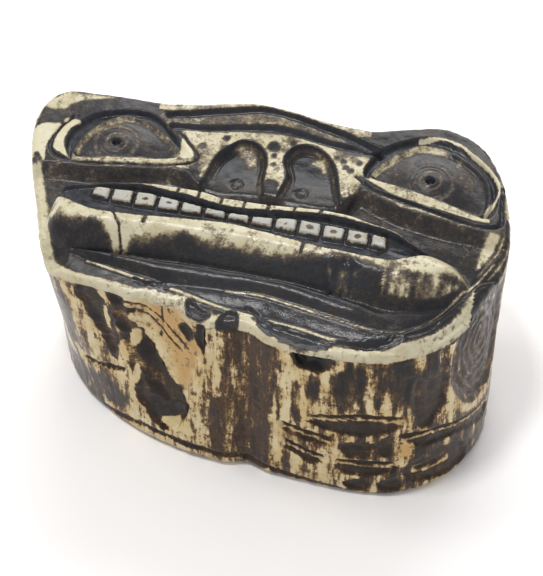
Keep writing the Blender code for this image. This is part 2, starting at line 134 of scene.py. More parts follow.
UPPER_FACE_EDGE = [
    (-36, 2.2), (-30, 3.4), (-20, 4), (-15, 5), (-11, 5), (-8, 2.8), (1, 2.8), (9.6, 2.6), (12.4, 5.6),
    (15.2, 4.6), (20, 3), (30.6, 1.4), (36, 0.6),
]
LEFT_EYE = [
    (-25.8, 4.7), (-26.4, 6.5), (-24.9, 9.9), (-21.9, 12.5), (-19.7, 12.8), (-17.1, 12.1), (-14, 9.8),
    (-12.2, 7.3), (-15.6, 6), (-20.1, 5.3),
]
LEFT_SOCKET = [
    (-26, 4.2), (-27.8, 6.2), (-27.8, 9.6), (-25.2, 12.8), (-21, 14.2), (-17.3, 14), (-14, 11.2),
    (-11.9, 7.9), (-13.4, 6.6), (-19, 5.4),
]
RIGHT_EYE = [
    (13.4, 8), (15.4, 11.4), (18.5, 13.9), (20.8, 14.4), (24.6, 13.2), (28.3, 10.3), (29.3, 6.8),
    (28.6, 4.1), (26.2, 4.3), (20.8, 5.5), (16.6, 6.7),
]
RIGHT_SOCKET = [
    (12.6, 8), (13.4, 11.6), (16.2, 14.5), (20.5, 16.1), (25.3, 14.7), (29.2, 11.2), (30.4, 8),
    (30, 4.4), (28.6, 3.5), (24.3, 4.7), (17.3, 6.3),
]
LEFT_PUPIL = (-21.2, 8.2)
RIGHT_PUPIL = (21.3, 8.2)
IRIS_RADIUS = 2.9
IRIS_RINGS = (0.42, 0.62, 0.8, 1.0)
PUPIL_RADIUS = 0.6
LEFT_EYE_LINE = [
    (-12.6, 11.1), (-9.8, 7.3), (-13.3, 5.7), (-22, 4.3), (-28, 4.5), (-29.9, 6.2), (-29.5, 9.5),
    (-27.9, 12.1),
]
RIGHT_EYE_LINE = [(11.5, 7.8), (15.2, 5.4), (24.5, 2.9), (30.6, 2.3), (31, 5.6), (30.6, 9)]
LEFT_NOSTRIL = [
    (-8.3, 1), (-8.1, 5.2), (-7.3, 8.5), (-4.9, 11.3), (-2.6, 11.3), (-0.7, 9.3), (-0.3, 5), (-0.2, 1),
]
RIGHT_NOSTRIL = [
    (2.2, 1), (2.4, 6), (1.5, 9.2), (2.9, 11.7), (5.6, 12), (8.3, 9.6), (9.7, 5.2), (10.2, 1),
]
NOSTRIL_RINGS = [(-3.9, 4.3), (4.8, 4.1)]
NOSTRIL_RING_RADIUS = 0.75
NOSTRIL_DEPTH = 1.0
UPPER_BROW = [(-15.1, 14.5), (-6, 16.2), (-1, 16.6), (7.3, 15.1), (13.9, 12.4)]
LOWER_BROW = [(-14.4, 12.5), (-10, 12.7), (-1.6, 13.7), (2.9, 13.6), (8.3, 12.7), (13.9, 12.2)]
CHIN_EDGE = [
    (-24, -9), (-20.5, -9.9), (-14.9, -11), (-9, -11.8), (-2.5, -11.8), (1.9, -11.8), (6.2, -12.4),
    (14.3, -14.1), (18.9, -14.5), (21.6, -13.8), (24.8, -11.2), (28.9, -5.6), (32.4, 0.5),
]
RIM_LINE = [
    (-20.5, -10.2), (-14.9, -11.4), (-7.5, -12.8), (-3.3, -13.8), (3.2, -14.9), (8.1, -15.5),
    (12.5, -16.4), (18, -16.2),
]
CORNER_NOTCH = ((-25.8, -9.8), (3.0, 3.0))
SWELLINGS = [
    ((-21.0, 9.0), (9.0, 8.0), 0.5),
    ((21.5, 9.0), (9.0, 8.0), 0.9),
    ((-2.0, 16.0), (10.0, 6.0), 0.7),
]

# Cracks in the lips
LIP_CRACKS = [
    [(-18.2, -4.8), (-17, -6.4), (-16.4, -8.4), (-17.2, -10)],
    [(-13.8, -4.5), (-14, -5.6)], [(-10.6, 1.2), (-10.7, -0.3)], [(-7.8, 1), (-7.9, -0.9)],
    [(-4.6, 0.7), (-4.8, -1.4)], [(-1.6, 0.5), (-1.8, -1.5)], [(1.6, 0.6), (1.3, -1.3)],
    [(4.9, 0.8), (4.8, -1)], [(8.4, 0.9), (8.2, -0.7)], [(6.9, -5.5), (6.8, -7)],
]
LIP_CHIP = ((12.2, -8.8), (2.2, 2.2))

# How deep the patina lies, from bare ivory to black
BARE = -0.62
WORN = -0.26
STAINED = 0.02
BROWN_DEEP = 0.3
DARK_DEEP = 0.6
BLACK_DEEP = 0.9

# Worn and stained places on the face
NOSE_PANEL = [
    (-12.9, 11.9), (-9, 12.4), (-1, 12.9), (3.5, 13), (5.9, 12.6), (8.2, 11.9), (10.7, 11.3),
    (12.9, 11.1), (12.4, 9.6), (12.6, 7.6), (12.2, 5.4), (11.8, 3.8), (11, 5), (10.3, 3.8), (1, 3.6),
    (-8.2, 4), (-9.2, 5.2), (-11.9, 5.3), (-13.5, 6.2), (-10.2, 7.6), (-11.6, 9.6),
]
LEFT_CORNER_WORN = [
    (-32.6, 13.4), (-31.1, 15.5), (-29.9, 16.4), (-28.4, 16.2), (-26.5, 16.2), (-23.4, 16),
    (-26.5, 15.2), (-28.8, 14.2), (-29.6, 13.1), (-31.6, 12.8),
]
LEFT_CHEEK_WORN = [
    (-32.6, 9.4), (-29.6, 10.3), (-30, 8.4), (-30.4, 6.5), (-30.2, 5.1), (-30, 3.3), (-31, 4.6),
    (-32.6, 5.4),
]
LEFT_EYE_WHITE = [
    (-29, 11.4), (-26.9, 11), (-27.9, 9.8), (-28.3, 8.1), (-28.2, 6.9), (-27.6, 5.8), (-26.6, 4.7),
    (-27.2, 4.7), (-28.2, 5.2), (-29.4, 5.9), (-29.6, 7.8), (-29.2, 9.6),
]
LEFT_EYE_CORNER = [(-12.4, 10.7), (-10.4, 7.8), (-12, 7), (-12.5, 8.8)]
RIGHT_EYE_BROWN = [(14.4, 9), (17.2, 10.7), (18.9, 10.6), (19.3, 8.2), (19.4, 6.4), (14.8, 7.7)]
RIGHT_EYE_WORN = [
    (24.2, 12.4), (25.3, 12.7), (25.8, 11.1), (26.8, 10.4), (27.4, 8.9), (26.2, 8.4), (24.7, 8.7),
    (24.3, 9.7),
]
WHITE_LINE = [
    (19, 15.5), (20.8, 16), (22.6, 16), (24.7, 15.2), (26.6, 13.7), (28.2, 12.3), (29.5, 10.8),
    (30.3, 9.1), (30.3, 7.8), (29.5, 5.6), (28.9, 3.6),
]
OUTER_LINE = [
    (21.6, 16.9), (23.7, 16.6), (26.1, 16.1), (27.9, 14.7), (29.6, 12.9), (30.7, 10.4), (31.1, 7.9),
    (30.8, 4.8), (30.7, 2.4),
]
LID_LINE = [(12.2, 7.7), (15, 6.1), (16.5, 5.2), (19.5, 4.3), (22.4, 3.7), (26.7, 3), (30.7, 2.5)]
LID_EDGE = [(16, 4.9), (18.2, 3.8), (21.1, 3.3), (23.4, 2.8), (25.3, 2.1), (27.3, 2.2)]
LEFT_LID_EDGE = [(-26, 3.7), (-23.4, 3.8), (-20.8, 4.1), (-17.8, 4.6)]
BROW_END = [(10.9, 14.5), (13.9, 15), (16.1, 16.4), (15.1, 13.8), (13.9, 12), (12.7, 13.3)]
RIGHT_BROW_EDGE = [(11, 14.6), (15, 16.6), (19, 17.4), (23.6, 17.6), (28, 15.6), (31, 11)]
LEFT_NOSTRIL_CORE = [
    (-7, 9.3), (-6.2, 10.1), (-5.1, 9.6), (-4.3, 8.2), (-3.6, 6.1), (-4.9, 5.2), (-6.6, 5.2),
    (-6.7, 7.4),
]
LEFT_NOSTRIL_WORN = [
    (-5, 10.6), (-3.7, 11), (-2.4, 10.4), (-1.9, 8.6), (-2.6, 7.6), (-3.4, 7.8), (-3.8, 8.9),
    (-4.6, 9.7),
]
RIGHT_NOSTRIL_WORN = [(5.2, 9.8), (6, 10.7), (7.1, 10.1), (7.5, 8.6), (6.9, 8.4), (6.3, 9.2)]
RIGHT_STRIP = [
    (29.1, 2.5), (30.8, 2.4), (31.2, 1.4), (30.6, -0.5), (29.8, -2.2), (28.8, -3.2), (29.1, -0.5),
    (29.8, 1.4),
]
END_STRIPES = [
    [(31.9, 1.6), (31.4, 0), (30.3, -2.1), (29.1, -4.2)],
    [(32.6, 0.6), (31.9, -1.8), (30.6, -4.2)],
]
PANEL_PITS = [
    ((-0.1, 11), 0.85), ((0.2, 9.5), 0.42), ((0.4, 8), 0.32), ((8.5, 10.5), 0.3), ((9.5, 10), 0.35),
    ((10, 9), 0.4), ((10.7, 8.5), 0.42), ((11.7, 10), 0.4), ((2.4, 11.9), 0.4), ((-9.6, 9.6), 0.5),
    ((-6.7, 11.4), 0.45), ((-9.8, 5.8), 0.5), ((0.6, 4.2), 1.1), ((-1, 5.4), 0.45),
]
TOOTH_SPOTS = [
    ((7.22, -2.8), (0.62, 0.4)), ((10.34, -3.05), (0.42, 0.32)), ((13.46, -3.25), (0.4, 0.34)),
    ((-14.62, -1.8), (0.4, 0.22)), ((-11.5, -1.95), (0.45, 0.2)), ((4.1, -2.75), (0.3, 0.16)),
]
LIP_WEAR = [
    (-28, -4.4), (-27, -5.3), (-25.2, -6), (-23.3, -6.3), (-20.4, -6.1), (-18.4, -7.2), (-17.2, -8.7),
    (-15.8, -8.4), (-14.6, -7.4), (-12.6, -7.3), (-10.4, -6.6), (-8.3, -6.3), (-5.1, -7.1), (-1.6, -7),
    (0.7, -7.4), (3, -7.5), (6.9, -7.4), (10, -7), (13.5, -6.9), (17.1, -7.6), (19.4, -9),
    (21.4, -8.4), (24, -7.6), (28, -6.2),
]

# Marks on the wall: how far round from the middle of the front, and how high over the base
FLAKE_SCAR = [
    (-13.6, 31.6), (-4.6, 31), (-3.6, 24.7), (-4.2, 19.1), (-5.6, 13.1), (-6.4, 8.7), (-8.2, 4.6),
    (-10.4, 4.4), (-12.8, 10.1), (-14.6, 17.4), (-15.2, 24.5), (-14.8, 30),
]
LEFT_PIT = [
    (-21.7, 27.6), (-20.5, 29.7), (-19.2, 29.4), (-18.2, 27), (-17.6, 24.2), (-16.4, 18.8),
    (-17, 15.5), (-18.7, 15.7), (-20.1, 19.6), (-21.1, 24.1),
]
LONG_PIT = [
    (-17.8, 29.7), (-16.7, 29.7), (-15.4, 26.2), (-14.2, 22.3), (-12.2, 18.6), (-10.4, 14.5),
    (-7.6, 11.6), (-6.2, 9.9), (-6.6, 7.2), (-8.6, 4.6), (-11, 3.4), (-13.4, 6.1), (-15.1, 12.3),
    (-16.2, 20), (-17.4, 25),
]
PIT_POOL = [(-12.6, 9), (-10.6, 8.2), (-9, 9.4), (-7.2, 8.2), (-7.2, 6), (-9.4, 4.4), (-11.6, 5.2)]
ORANGE_PATCH = [
    (-13.9, 30.5), (-10.8, 30.3), (-8.1, 28.4), (-6.6, 24.5), (-4.9, 21), (-6.2, 14.7), (-8.3, 13.4),
    (-11, 19.5), (-13.4, 25.7),
]
SCAR_MARKS = [
    [(-8.4, 24.2), (-7.4, 25.3), (-6.2, 23.6), (-7.3, 22.2)],
    [(-6.8, 27.1), (-4.1, 29.3), (-3.4, 27.9), (-4.2, 21.4), (-5.8, 22.7), (-5.4, 26)],
]
SCAR_EDGE = [(-2.9, 31.1), (-3.3, 27.9), (-3.2, 23.8), (-4.2, 19), (-5.4, 14.2), (-6, 10.5), (-7, 6.6)]
SCAR_CRACKS = [
    [(-13.7, 31.6), (-14, 27.8)], [(-10.8, 31.2), (-11.3, 21.4)],
    [(-16.4, 27.4), (-12, 25.4), (-7.4, 20.8)], [(-16.8, 26.6), (-12.6, 24.4), (-8.2, 19.6)],
]
VALLEY_PLACE = 1.6
BROWN_COLUMN = [
    (-1.1, 25.4), (-0.4, 27.6), (1.1, 28.8), (3.6, 30), (5, 29.4), (5.8, 26.3), (5.2, 21.5), (4.9, 12),
    (4.4, 1.2), (0.5, 2), (-3.4, 2.6), (-3.8, 7), (-3.6, 11.6), (-1.5, 16.9), (-1.6, 21),
]
KNOT = (36.5, 22.0)
KNOT_RADII = (7.4, 10.5)
CUTS = [
    [(6, 12.9), (10.5, 12), (14.5, 11.4)], [(6.4, 9.4), (10.2, 8.1), (13.4, 7.2)],
    [(9.6, 15.4), (17, 17), (23.8, 16.2)], [(21.6, 12.8), (27.2, 12.6), (32, 11), (40, 8)],
    [(13.6, 7.3), (22.6, 7.7)], [(-25.6, 10.6), (-19.9, 12.2), (-15.6, 13.6)], [(24, 5.6), (30, 5)],
]
WALL_CHIPS = [
    [(9.8, 14.2), (12.6, 15.8), (17.8, 16.8), (23.4, 16), (21.5, 14), (17.5, 12.6), (13.9, 12.7)],
    [(6.2, 12.5), (8, 12.2), (10.5, 11.8), (13.5, 11.3), (12.3, 9.9), (8.9, 10.1), (6.7, 10.9)],
    [(6.6, 9), (10.2, 7.9), (13, 7), (11.5, 5.4), (8.9, 5.9)],
    [(14, 7), (18, 7.4), (22, 7.4), (21.4, 5.6), (17.7, 4.2), (14.9, 4.4)],
    [(15.2, 2.1), (17.4, 3.7), (19, 2.9), (18.2, 1.2), (16.2, 1.2)],
    [(19.4, 2.8), (22.1, 3.9), (22.9, 1.9), (20.6, 1.1)],
    [(22.9, 6), (27.4, 7.7), (32, 6), (33, 1.3), (27.7, 1.6), (23.9, 3)],
    [(19.6, 11.3), (21.2, 12.6), (21.6, 9), (19.8, 8.7)],
    [(14.7, 10.2), (16.4, 11.1), (19.1, 10.9), (18.1, 8.7), (15.6, 7.9)],
    [(22.4, 12.4), (27.2, 12.4), (33, 10.4), (39, 8.2), (38, 5.4), (31, 8.6), (25, 9.8)],
    [(24.4, 23), (27, 22.5), (28.6, 27.6), (28.9, 18.4), (27.1, 14.8), (25.6, 13.2), (24.2, 15),
     (23.7, 19.5)],
    [(-25.2, 9.9), (-19.9, 11.8), (-16, 13.3), (-16.8, 12.3), (-21.5, 10.1)],
]
ORANGE_CHIP = [(21.7, 10.8), (24, 10.9), (24.1, 8), (21.9, 8.4)]
# Painted highlights: bright glints in the flake scar and the pits, laid in as bare ivory; middles and
# half sizes
SCAR_GLINTS = [
    ((-16.2, 17), (0.6, 1.7)), ((-14.9, 19.6), (0.5, 1.6)), ((-9.8, 4.9), (1.6, 0.7)),
    ((-7.2, 5.4), (1, 0.7)), ((-14.6, 12.6), (0.4, 1.8)), ((-18.4, 22), (0.35, 2.2)),
]
RIM_HOLE = ((10.3, 27.4), (3.2, 3.3))
RIM_FACETS = [
    ((-5.6, 31.7), (2.2, 0.9)), ((-0.9, 31.4), (1.6, 1.3)), ((8.6, 32.4), (5.4, 1.3)),
    ((19.6, 33), (5.4, 1)), ((-13.5, 33.6), (3.2, 0.8)), ((27, 33), (3, 0.9)),
    ((2.8, 33.4), (2.2, 0.8)),
]
BASE_LINE = [
    (-25.1, 0.4), (-19.8, 1.4), (-12.7, 2.5), (-6.4, 2.5), (-0.7, 2.4), (3.8, 1.8), (9.3, 1.2),
    (14.8, 0.6),
]

# How deep the marks on the wall go, and how far in from its edge each of the first ones gets there
WALL_DEPTHS = {
    "scar": (1.2, 1.6), "left_pit": (0.55, 0.8), "long_pit": (0.6, 0.9), "pool": (0.35, 0.8),
    "marks": (0.3, 0.5), "knot": (0.6, 0.2), "facets": (0.35, 0.5), "chips": (0.35, 0.4),
}
VALLEY_DEPTH = 0.8
VALLEY_REACH = 3.5
SCAR_EDGE_RISE = 0.3
SCAR_CRACK_DEPTH = 0.16
KNOT_RING_DEPTH = 0.09
HOLE_DEPTH = 0.9
CHOP_DEPTH = 0.45
BASE_LINE_DEPTH = 0.25
RIM_WORN_FROM = 30.0

# Patina on the wall: middle, half sizes, and how deep it lies
WALL_STAINS = [
    ((10.6, 21.2), (0.9, 3.2), 0.6), ((8.5, 17.9), (0.7, 4.6), 0.3), ((13.2, 21), (0.8, 3.4), 0.2),
    ((15.6, 22.5), (1.8, 5), 0.6), ((19, 23.1), (1, 5.2), 0.45), ((21.6, 23.3), (1.9, 5.8), 0.5),
    ((25.5, 21.4), (3, 3.2), 0.5), ((26.4, 24), (0.9, 5.6), 0.5), ((28, 6), (6.4, 4.6), 0.16),
    ((34, 6), (5, 6), 0.2), ((30.2, 29), (2.6, 4), 0.4), ((-26, 21), (2.4, 10), 0.4),
    ((-20.6, 6), (4.4, 2.6), 0.35), ((-27, 4), (5, 4.6), 0.45), ((-33, 14), (4, 17), 0.16),
    ((48, 12), (6, 14), 0.2), ((70, 16), (14, 18), 0.1), ((100, 14), (12, 16), 0.15),
    ((120, 18), (7, 16), 0.2), ((37, 3), (8, 4), 0.2),
]

# Colours: the patina's ramps from bare ivory to black, the tones over them (slate among them is a painted
# sheen), and the surroundings
FACE_RAMP = [
    (0.00, (0.57, 0.52, 0.37, 1.0)),
    (0.3, (0.46, 0.4, 0.25, 1.0)),
    (0.4, (0.27, 0.225, 0.135, 1.0)),
    (0.5, (0.125, 0.098, 0.068, 1.0)),
    (0.62, (0.048, 0.038, 0.031, 1.0)),
    (0.8, (0.02, 0.018, 0.018, 1.0)),
    (1.00, (0.009, 0.01, 0.013, 1.0)),
]
WALL_RAMP = [
    (0.00, (0.61, 0.5, 0.28, 1.0)),
    (0.3, (0.52, 0.38, 0.17, 1.0)),
    (0.42, (0.26, 0.15, 0.052, 1.0)),
    (0.5, (0.1, 0.052, 0.019, 1.0)),
    (0.62, (0.036, 0.019, 0.009, 1.0)),
    (0.8, (0.014, 0.009, 0.006, 1.0)),
    (1.00, (0.006, 0.005, 0.005, 1.0)),
]
PALE_IVORY = (0.57, 0.53, 0.385, 1.0)
WALL_CREAM = (0.67, 0.57, 0.35, 1.0)
YELLOW_IVORY = (0.6, 0.43, 0.17, 1.0)
ORANGE_IVORY = (0.54, 0.32, 0.11, 1.0)
RUST = (0.08, 0.034, 0.012, 1.0)
ENAMEL = (0.36, 0.355, 0.325, 1.0)
# Painted sheen: a bluish grey painted over the dark patina, standing for the bright surroundings
# reflected in it
SLATE_PAINTED_SHEEN = (0.052, 0.06, 0.074, 1.0)
FLOOR_COLOUR = (0.90, 0.885, 0.87, 1.0)
FLOOR_SHADE = (0.88, 0.86, 0.845, 1.0)
SKY_COLOUR = (0.98, 0.98, 1.0, 1.0)

# The ivory's noises: scale, detail and roughness, then how strongly each breaks up the patina
FINE_NOISE = (2600.0, 4.0, 0.65)
MOTTLE_NOISE = (900.0, 4.0, 0.65)
BROAD_NOISE = (260.0, 3.0, 0.6)
HAIR_NOISE = (2400.0, 4.0, 0.65)
STREAK_NOISE = (760.0, 4.0, 0.65)
GRAIN_STRETCH = 0.16
FACE_BREAK = {"fine": 1.0, "mottle": 1.3, "broad": 0.9}
WALL_BREAK = {"fine": 1.0, "mottle": 1.0, "hairs": 1.5, "streaks": 2.4}
SPECULAR_LEVEL = 0.24
LEAST_ROUGHNESS = 0.06
MOTTLE_ROUGHNESS = 0.24
PATINA_ROUGHNESS = 0.02
BUMP_STRENGTH = 0.6
BUMP_DISTANCE = 0.00014

# Floor and light, in metres, watts and degrees; each lamp has a place, an aim, a size and a power
FLOOR_SIZE = 4.0
FLOOR_ROUGHNESS = 0.6
SKY_STRENGTH = 0.65
SUN_STRENGTH = 0.45
SUN_ANGLE = 14.0
SUN_DIRECTION = (0.5, -0.15, -0.85)
LAMPS = {
    "overhead": ((-0.12, -0.06, 0.6), (0.0, 0.0, 0.0), 0.08, 1.4),
    "far_floor": ((0.0, 0.75, 0.6), (0.0, 0.45, 0.0), 0.6, 5.0),
}


def ease(start, end, value):
    """A smooth step from 0 at start to 1 at end."""
    t = np.clip((value - start) / (end - start), 0.0, 1.0)
    return t * t * (3.0 - 2.0 * t)


def smooth_line(points, steps=6, closed=False):
    """A Catmull-Rom curve through the given points, as short straight pieces."""
    p = np.array(points, float)
    if closed:
        p = np.vstack([p[-1], p, p[0], p[1]])
    else:
        p = np.vstack([2 * p[0] - p[1], p, 2 * p[-1] - p[-2]])
    found = []
    for a, b, c, d in zip(p[:-3], p[1:-2], p[2:-1], p[3:]):
        for t in np.arange(steps) / steps:
            bend = (2 * a - 5 * b + 4 * c - d) * t**2 + (3 * b - a - 3 * c + d) * t**3
            found.append(0.5 * (2 * b + (c - a) * t + bend))
    found.append(p[-2])
    return np.array(found)


def distance_to(line, x, y):
    """How far each point is from a line of straight pieces."""
    nearest = np.full(x.shape, np.inf)
    for (ax, ay), (bx, by) in zip(line[:-1], line[1:]):
        dx, dy = bx - ax, by - ay
        t = np.clip(((x - ax) * dx + (y - ay) * dy) / (dx * dx + dy * dy + 1e-12), 0.0, 1.0)
        nearest = np.minimum(nearest, np.hypot(x - ax - t * dx, y - ay - t * dy))
    return nearest


def from_line(points, x, y):
    """How far each point is from a smooth line."""
    return distance_to(smooth_line(points), x, y)


def depth_inside(points, x, y):
    """How far each point is inside a smooth closed outline; negative outside it."""
    line = smooth_line(points, closed=True)
    inside = np.zeros(x.shape, bool)
    for (ax, ay), (bx, by) in zip(line[:-1], line[1:]):
        if ay != by:
            crosses = (ay > y) != (by > y)
            inside ^= crosses & (x < ax + (bx - ax) * (y - ay) / (by - ay))
    distance = distance_to(line, x, y)
    return np.where(inside, distance, -distance)


def line_height(points, x):
    """The Y of a smooth line that runs along X, at each x."""
    line = smooth_line(points)
    return np.interp(x, line[:, 0], line[:, 1])


def from_middle(middle, radii, x, y):
    """The distance of each point from a middle, as a share of two radii."""
    return np.hypot((x - middle[0]) / radii[0], (y - middle[1]) / radii[1])


def rough(seed, x, y, size):
    """Smooth noise from -1 to 1 with bumps of about the given size."""
    table = np.random.default_rng(seed).uniform(-1.0, 1.0, (97, 89))
    u, v = x / size, y / size
    i, j = np.floor(u).astype(int), np.floor(v).astype(int)
    s, t = u - i, v - j
    s, t = s * s * (3 - 2 * s), t * t * (3 - 2 * t)
    low = table[i % 97, j % 89] * (1 - s) + table[(i + 1) % 97, j % 89] * s
    high = table[i % 97, (j + 1) % 89] * (1 - s) + table[(i + 1) % 97, (j + 1) % 89] * s
    return low * (1 - t) + high * t


def read_face(x, y, from_rim):
    """The distances on the carved face that its relief and its patina are worked out from."""
    left, right = CHIN_EDGE[0], CHIN_EDGE[-1]
    behind = [(right[0], 40.0), (left[0] - 16.0, 40.0), (left[0] - 16.0, left[1])]
    outlines = {
        "lips": LIPS, "mouth": MOUTH, "chin": CHIN_EDGE + behind, "left_eye": LEFT_EYE,
        "right_eye": RIGHT_EYE, "left_socket": LEFT_SOCKET, "right_socket": RIGHT_SOCKET,
        "left_nostril": LEFT_NOSTRIL, "right_nostril": RIGHT_NOSTRIL,
    }
    lines = {
        "upper_brow": UPPER_BROW, "lower_brow": LOWER_BROW, "chin_line": CHIN_EDGE, "rim_line": RIM_LINE,
    }
    face = {name: depth_inside(outline, x, y) for name, outline in outlines.items()}
    face.update({name: from_line(line, x, y) for name, line in lines.items()})
    wobble = 0.12 * rough(3, x, y, 2.5)
    face["lips"] += wobble
    face["upper"] = y - line_height(UPPER_FACE_EDGE, x) + wobble
    face["eye_line"] = np.minimum(from_line(LEFT_EYE_LINE, x, y), from_line(RIGHT_EYE_LINE, x, y))
    face["cracks"] = np.min([distance_to(np.array(crack), x, y) for crack in LIP_CRACKS], axis=0)
    face["teeth"] = teeth(x, y)
    face["front"] = ease(-1.0, -5.0, y)
    face["from_rim"] = from_rim
    around = way_round(np.arctan2(y, x))
    rise = RIM_HEIGHT - 1.0 + from_rim
    face["facets"] = rim_facets(around, rise, 0.1 * rough(22, around, rise, 0.7))
    return face


def deepest_spot(spots, x, y):
    """How far each point is inside the nearest of some ellipses, as a share of their radii."""
    return np.max([1.0 - from_middle(middle, radii, x, y) for middle, radii in spots], axis=0)


def rim_facets(around, rise, ragged):
    """How far each point is inside one of the facets that are chopped out of the front rim."""
    return deepest_spot(RIM_FACETS, around, rise) + ragged


def teeth(x, y):
    """1 on the teeth and 0 round them."""
    row = ease(-0.12, 0.12, np.minimum(line_height(TEETH_TOP, x) - y, y - line_height(TEETH_FOOT, x)))
    row = row * ease(-22.2, -21.4, x) * ease(17.4, 16.9, x)
    for gap in range(TOOTH_GAPS):
        place = FIRST_TOOTH_GAP + gap * TOOTH_PITCH
        row = row * ease(TOOTH_GAP * 0.15, TOOTH_GAP * 0.55, np.abs(x - place))
    return row


def ground_level(face, x):
    """The level round the lips: the groove behind them, the chin band and the cord before them."""
    front, to_edge = face["front"], face["chin"]
    level = GROOVE_LEVEL + (CREASE_LEVEL - GROOVE_LEVEL) * front
    out = np.maximum(-face["lips"], 0.0)
    across = out / np.maximum(out + np.maximum(to_edge, 0.0), 1e-6)
    band = ease(-25.0, -20.0, x) * ease(20.0, 13.0, x) * front
    level += band * CHIN_BAND_RISE * ease(0.0, 0.3, across) * ease(1.25, 0.4, across)
    level += front * (CHIN_FOOT_LEVEL - CREASE_LEVEL) * ease(0.5, 1.0, across)
    past = np.maximum(-to_edge, 0.0)
    along = np.clip(past / CORD_WIDTH, 0.0, 1.0)
    cord = ease(13.0, 22.0, x) * CORD_RISE * np.sqrt(np.maximum(4.0 * along * (1.0 - along), 0.0))
    grooves = np.maximum(np.sin(2.0 * math.pi * past / CORD_LINE_PITCH), 0.0)
    cord -= CORD_LINE_DEPTH * ease(15.0, 19.0, x) * grooves
    fall = (RIM_LEVEL - CHIN_FOOT_LEVEL) * ease(0.0, 2.5, past)
    return level + np.where(to_edge < 0.0, fall + cord, 0.0)


def eye_cut(in_eye, in_socket, pupil, x, y):
    """The depth of one eye: the socket's groove, a sunk eyeball, the iris's rings and a drilled pupil."""
    radius = np.hypot(x - pupil[0], y - pupil[1])
    cut = SOCKET_DEPTH * ease(0.0, 0.4, in_socket) * ease(-0.05, -0.45, in_eye)
    ball = EYEBALL_DEPTH - EYEBALL_SWELL * ease(2.4 * IRIS_RADIUS, 0.0, radius)
    for share in IRIS_RINGS:
        ball += IRIS_RING_DEPTH * ease(0.3, 0.0, np.abs(radius - share * IRIS_RADIUS))
    ball += PUPIL_DEPTH * ease(PUPIL_RADIUS * 1.2, PUPIL_RADIUS * 0.5, radius)
    return cut + ease(0.1, 0.5, in_eye) * ball


def upper_level(face, x, y):
    """The level of the brow, eyes and nose."""
    level = np.full(x.shape, UPPER_FACE_RISE)
    for middle, radii, rise in SWELLINGS:
        level += rise * ease(1.0, 0.0, from_middle(middle, radii, x, y))
    for side in ("left", "right"):
        inside = face[side + "_nostril"]
        level -= NOSTRIL_DEPTH * ease(0.0, 0.9, inside) * (0.6 + 0.4 * ease(3.0, 9.0, y))
        level -= NOSTRIL_LINE_DEPTH * ease(0.2, 0.0, np.abs(inside - 1.05)) * ease(4.0, 7.0, y)
    for middle in NOSTRIL_RINGS:
        ring = np.abs(np.hypot(x - middle[0], y - middle[1]) - NOSTRIL_RING_RADIUS)
        level -= NOSTRIL_RING_DEPTH * ease(0.22, 0.0, ring)
    level -= eye_cut(face["left_eye"], face["left_socket"], LEFT_PUPIL, x, y)
    level -= eye_cut(face["right_eye"], face["right_socket"], RIGHT_PUPIL, x, y)
    level -= EYE_LINE_DEPTH * ease(0.35, 0.05, face["eye_line"])
    level -= UPPER_BROW_DEPTH * ease(0.85, 0.2, face["upper_brow"])
    level -= LOWER_BROW_DEPTH * ease(0.7, 0.15, face["lower_brow"])
    return level


def face_level(face, x, y):
    """The level of the whole carved face over its sloping plane."""
    level = ground_level(face, x)
    share = ease(-LID_SLOPE, 0.3, face["upper"])
    level += (upper_level(face, x, y) - level) * share
    level -= NOTCH_DEPTH * ease(1.0, 0.0, from_middle(*CORNER_NOTCH, x, y))
    roll = BACK_LIP_ROLL + (FRONT_LIP_ROLL - BACK_LIP_ROLL) * ease(-1.5, -4.0, y)
    swell = 1.0 - (1.0 - np.clip(face["lips"] / roll, 0.0, 1.0)) ** 2
    level += (LIP_RISE - level) * swell
    hollow = ease(0.0, 0.5, face["mouth"])
    level -= hollow * (MOUTH_DEPTH - face["teeth"] * (MOUTH_DEPTH - TEETH_BELOW_LIPS))
    level -= LIP_CRACK_DEPTH * ease(0.25, 0.0, face["cracks"])
    level -= RIM_FACET_DEPTH * ease(0.0, 0.5, face["facets"]) * ease(3.2, 2.0, face["from_rim"])
    chip = 1.0 - from_middle(*LIP_CHIP, x, y) + 0.3 * rough(13, x, y, 0.8)
    level -= (LIP_CHIP_DEPTH + 0.15 * rough(14, x, y, 0.6)) * ease(0.0, 0.35, chip)
    level += CHIN_LINE_RISE * ease(0.3, 0.0, face["chin_line"]) * ease(-2.0, 2.0, x)
    level += RIM_LINE_RISE * ease(0.35, 0.0, face["rim_line"])
    return level + 0.07 * rough(11, x, y, 3.0) + 0.03 * rough(12, x, y, 0.9)


def lay(patina, inside, level, soft=0.2):
    """Lays one level of patina over what is there, wherever inside is positive, with a soft edge."""
    patina += (level - patina) * ease(-soft, soft, inside)


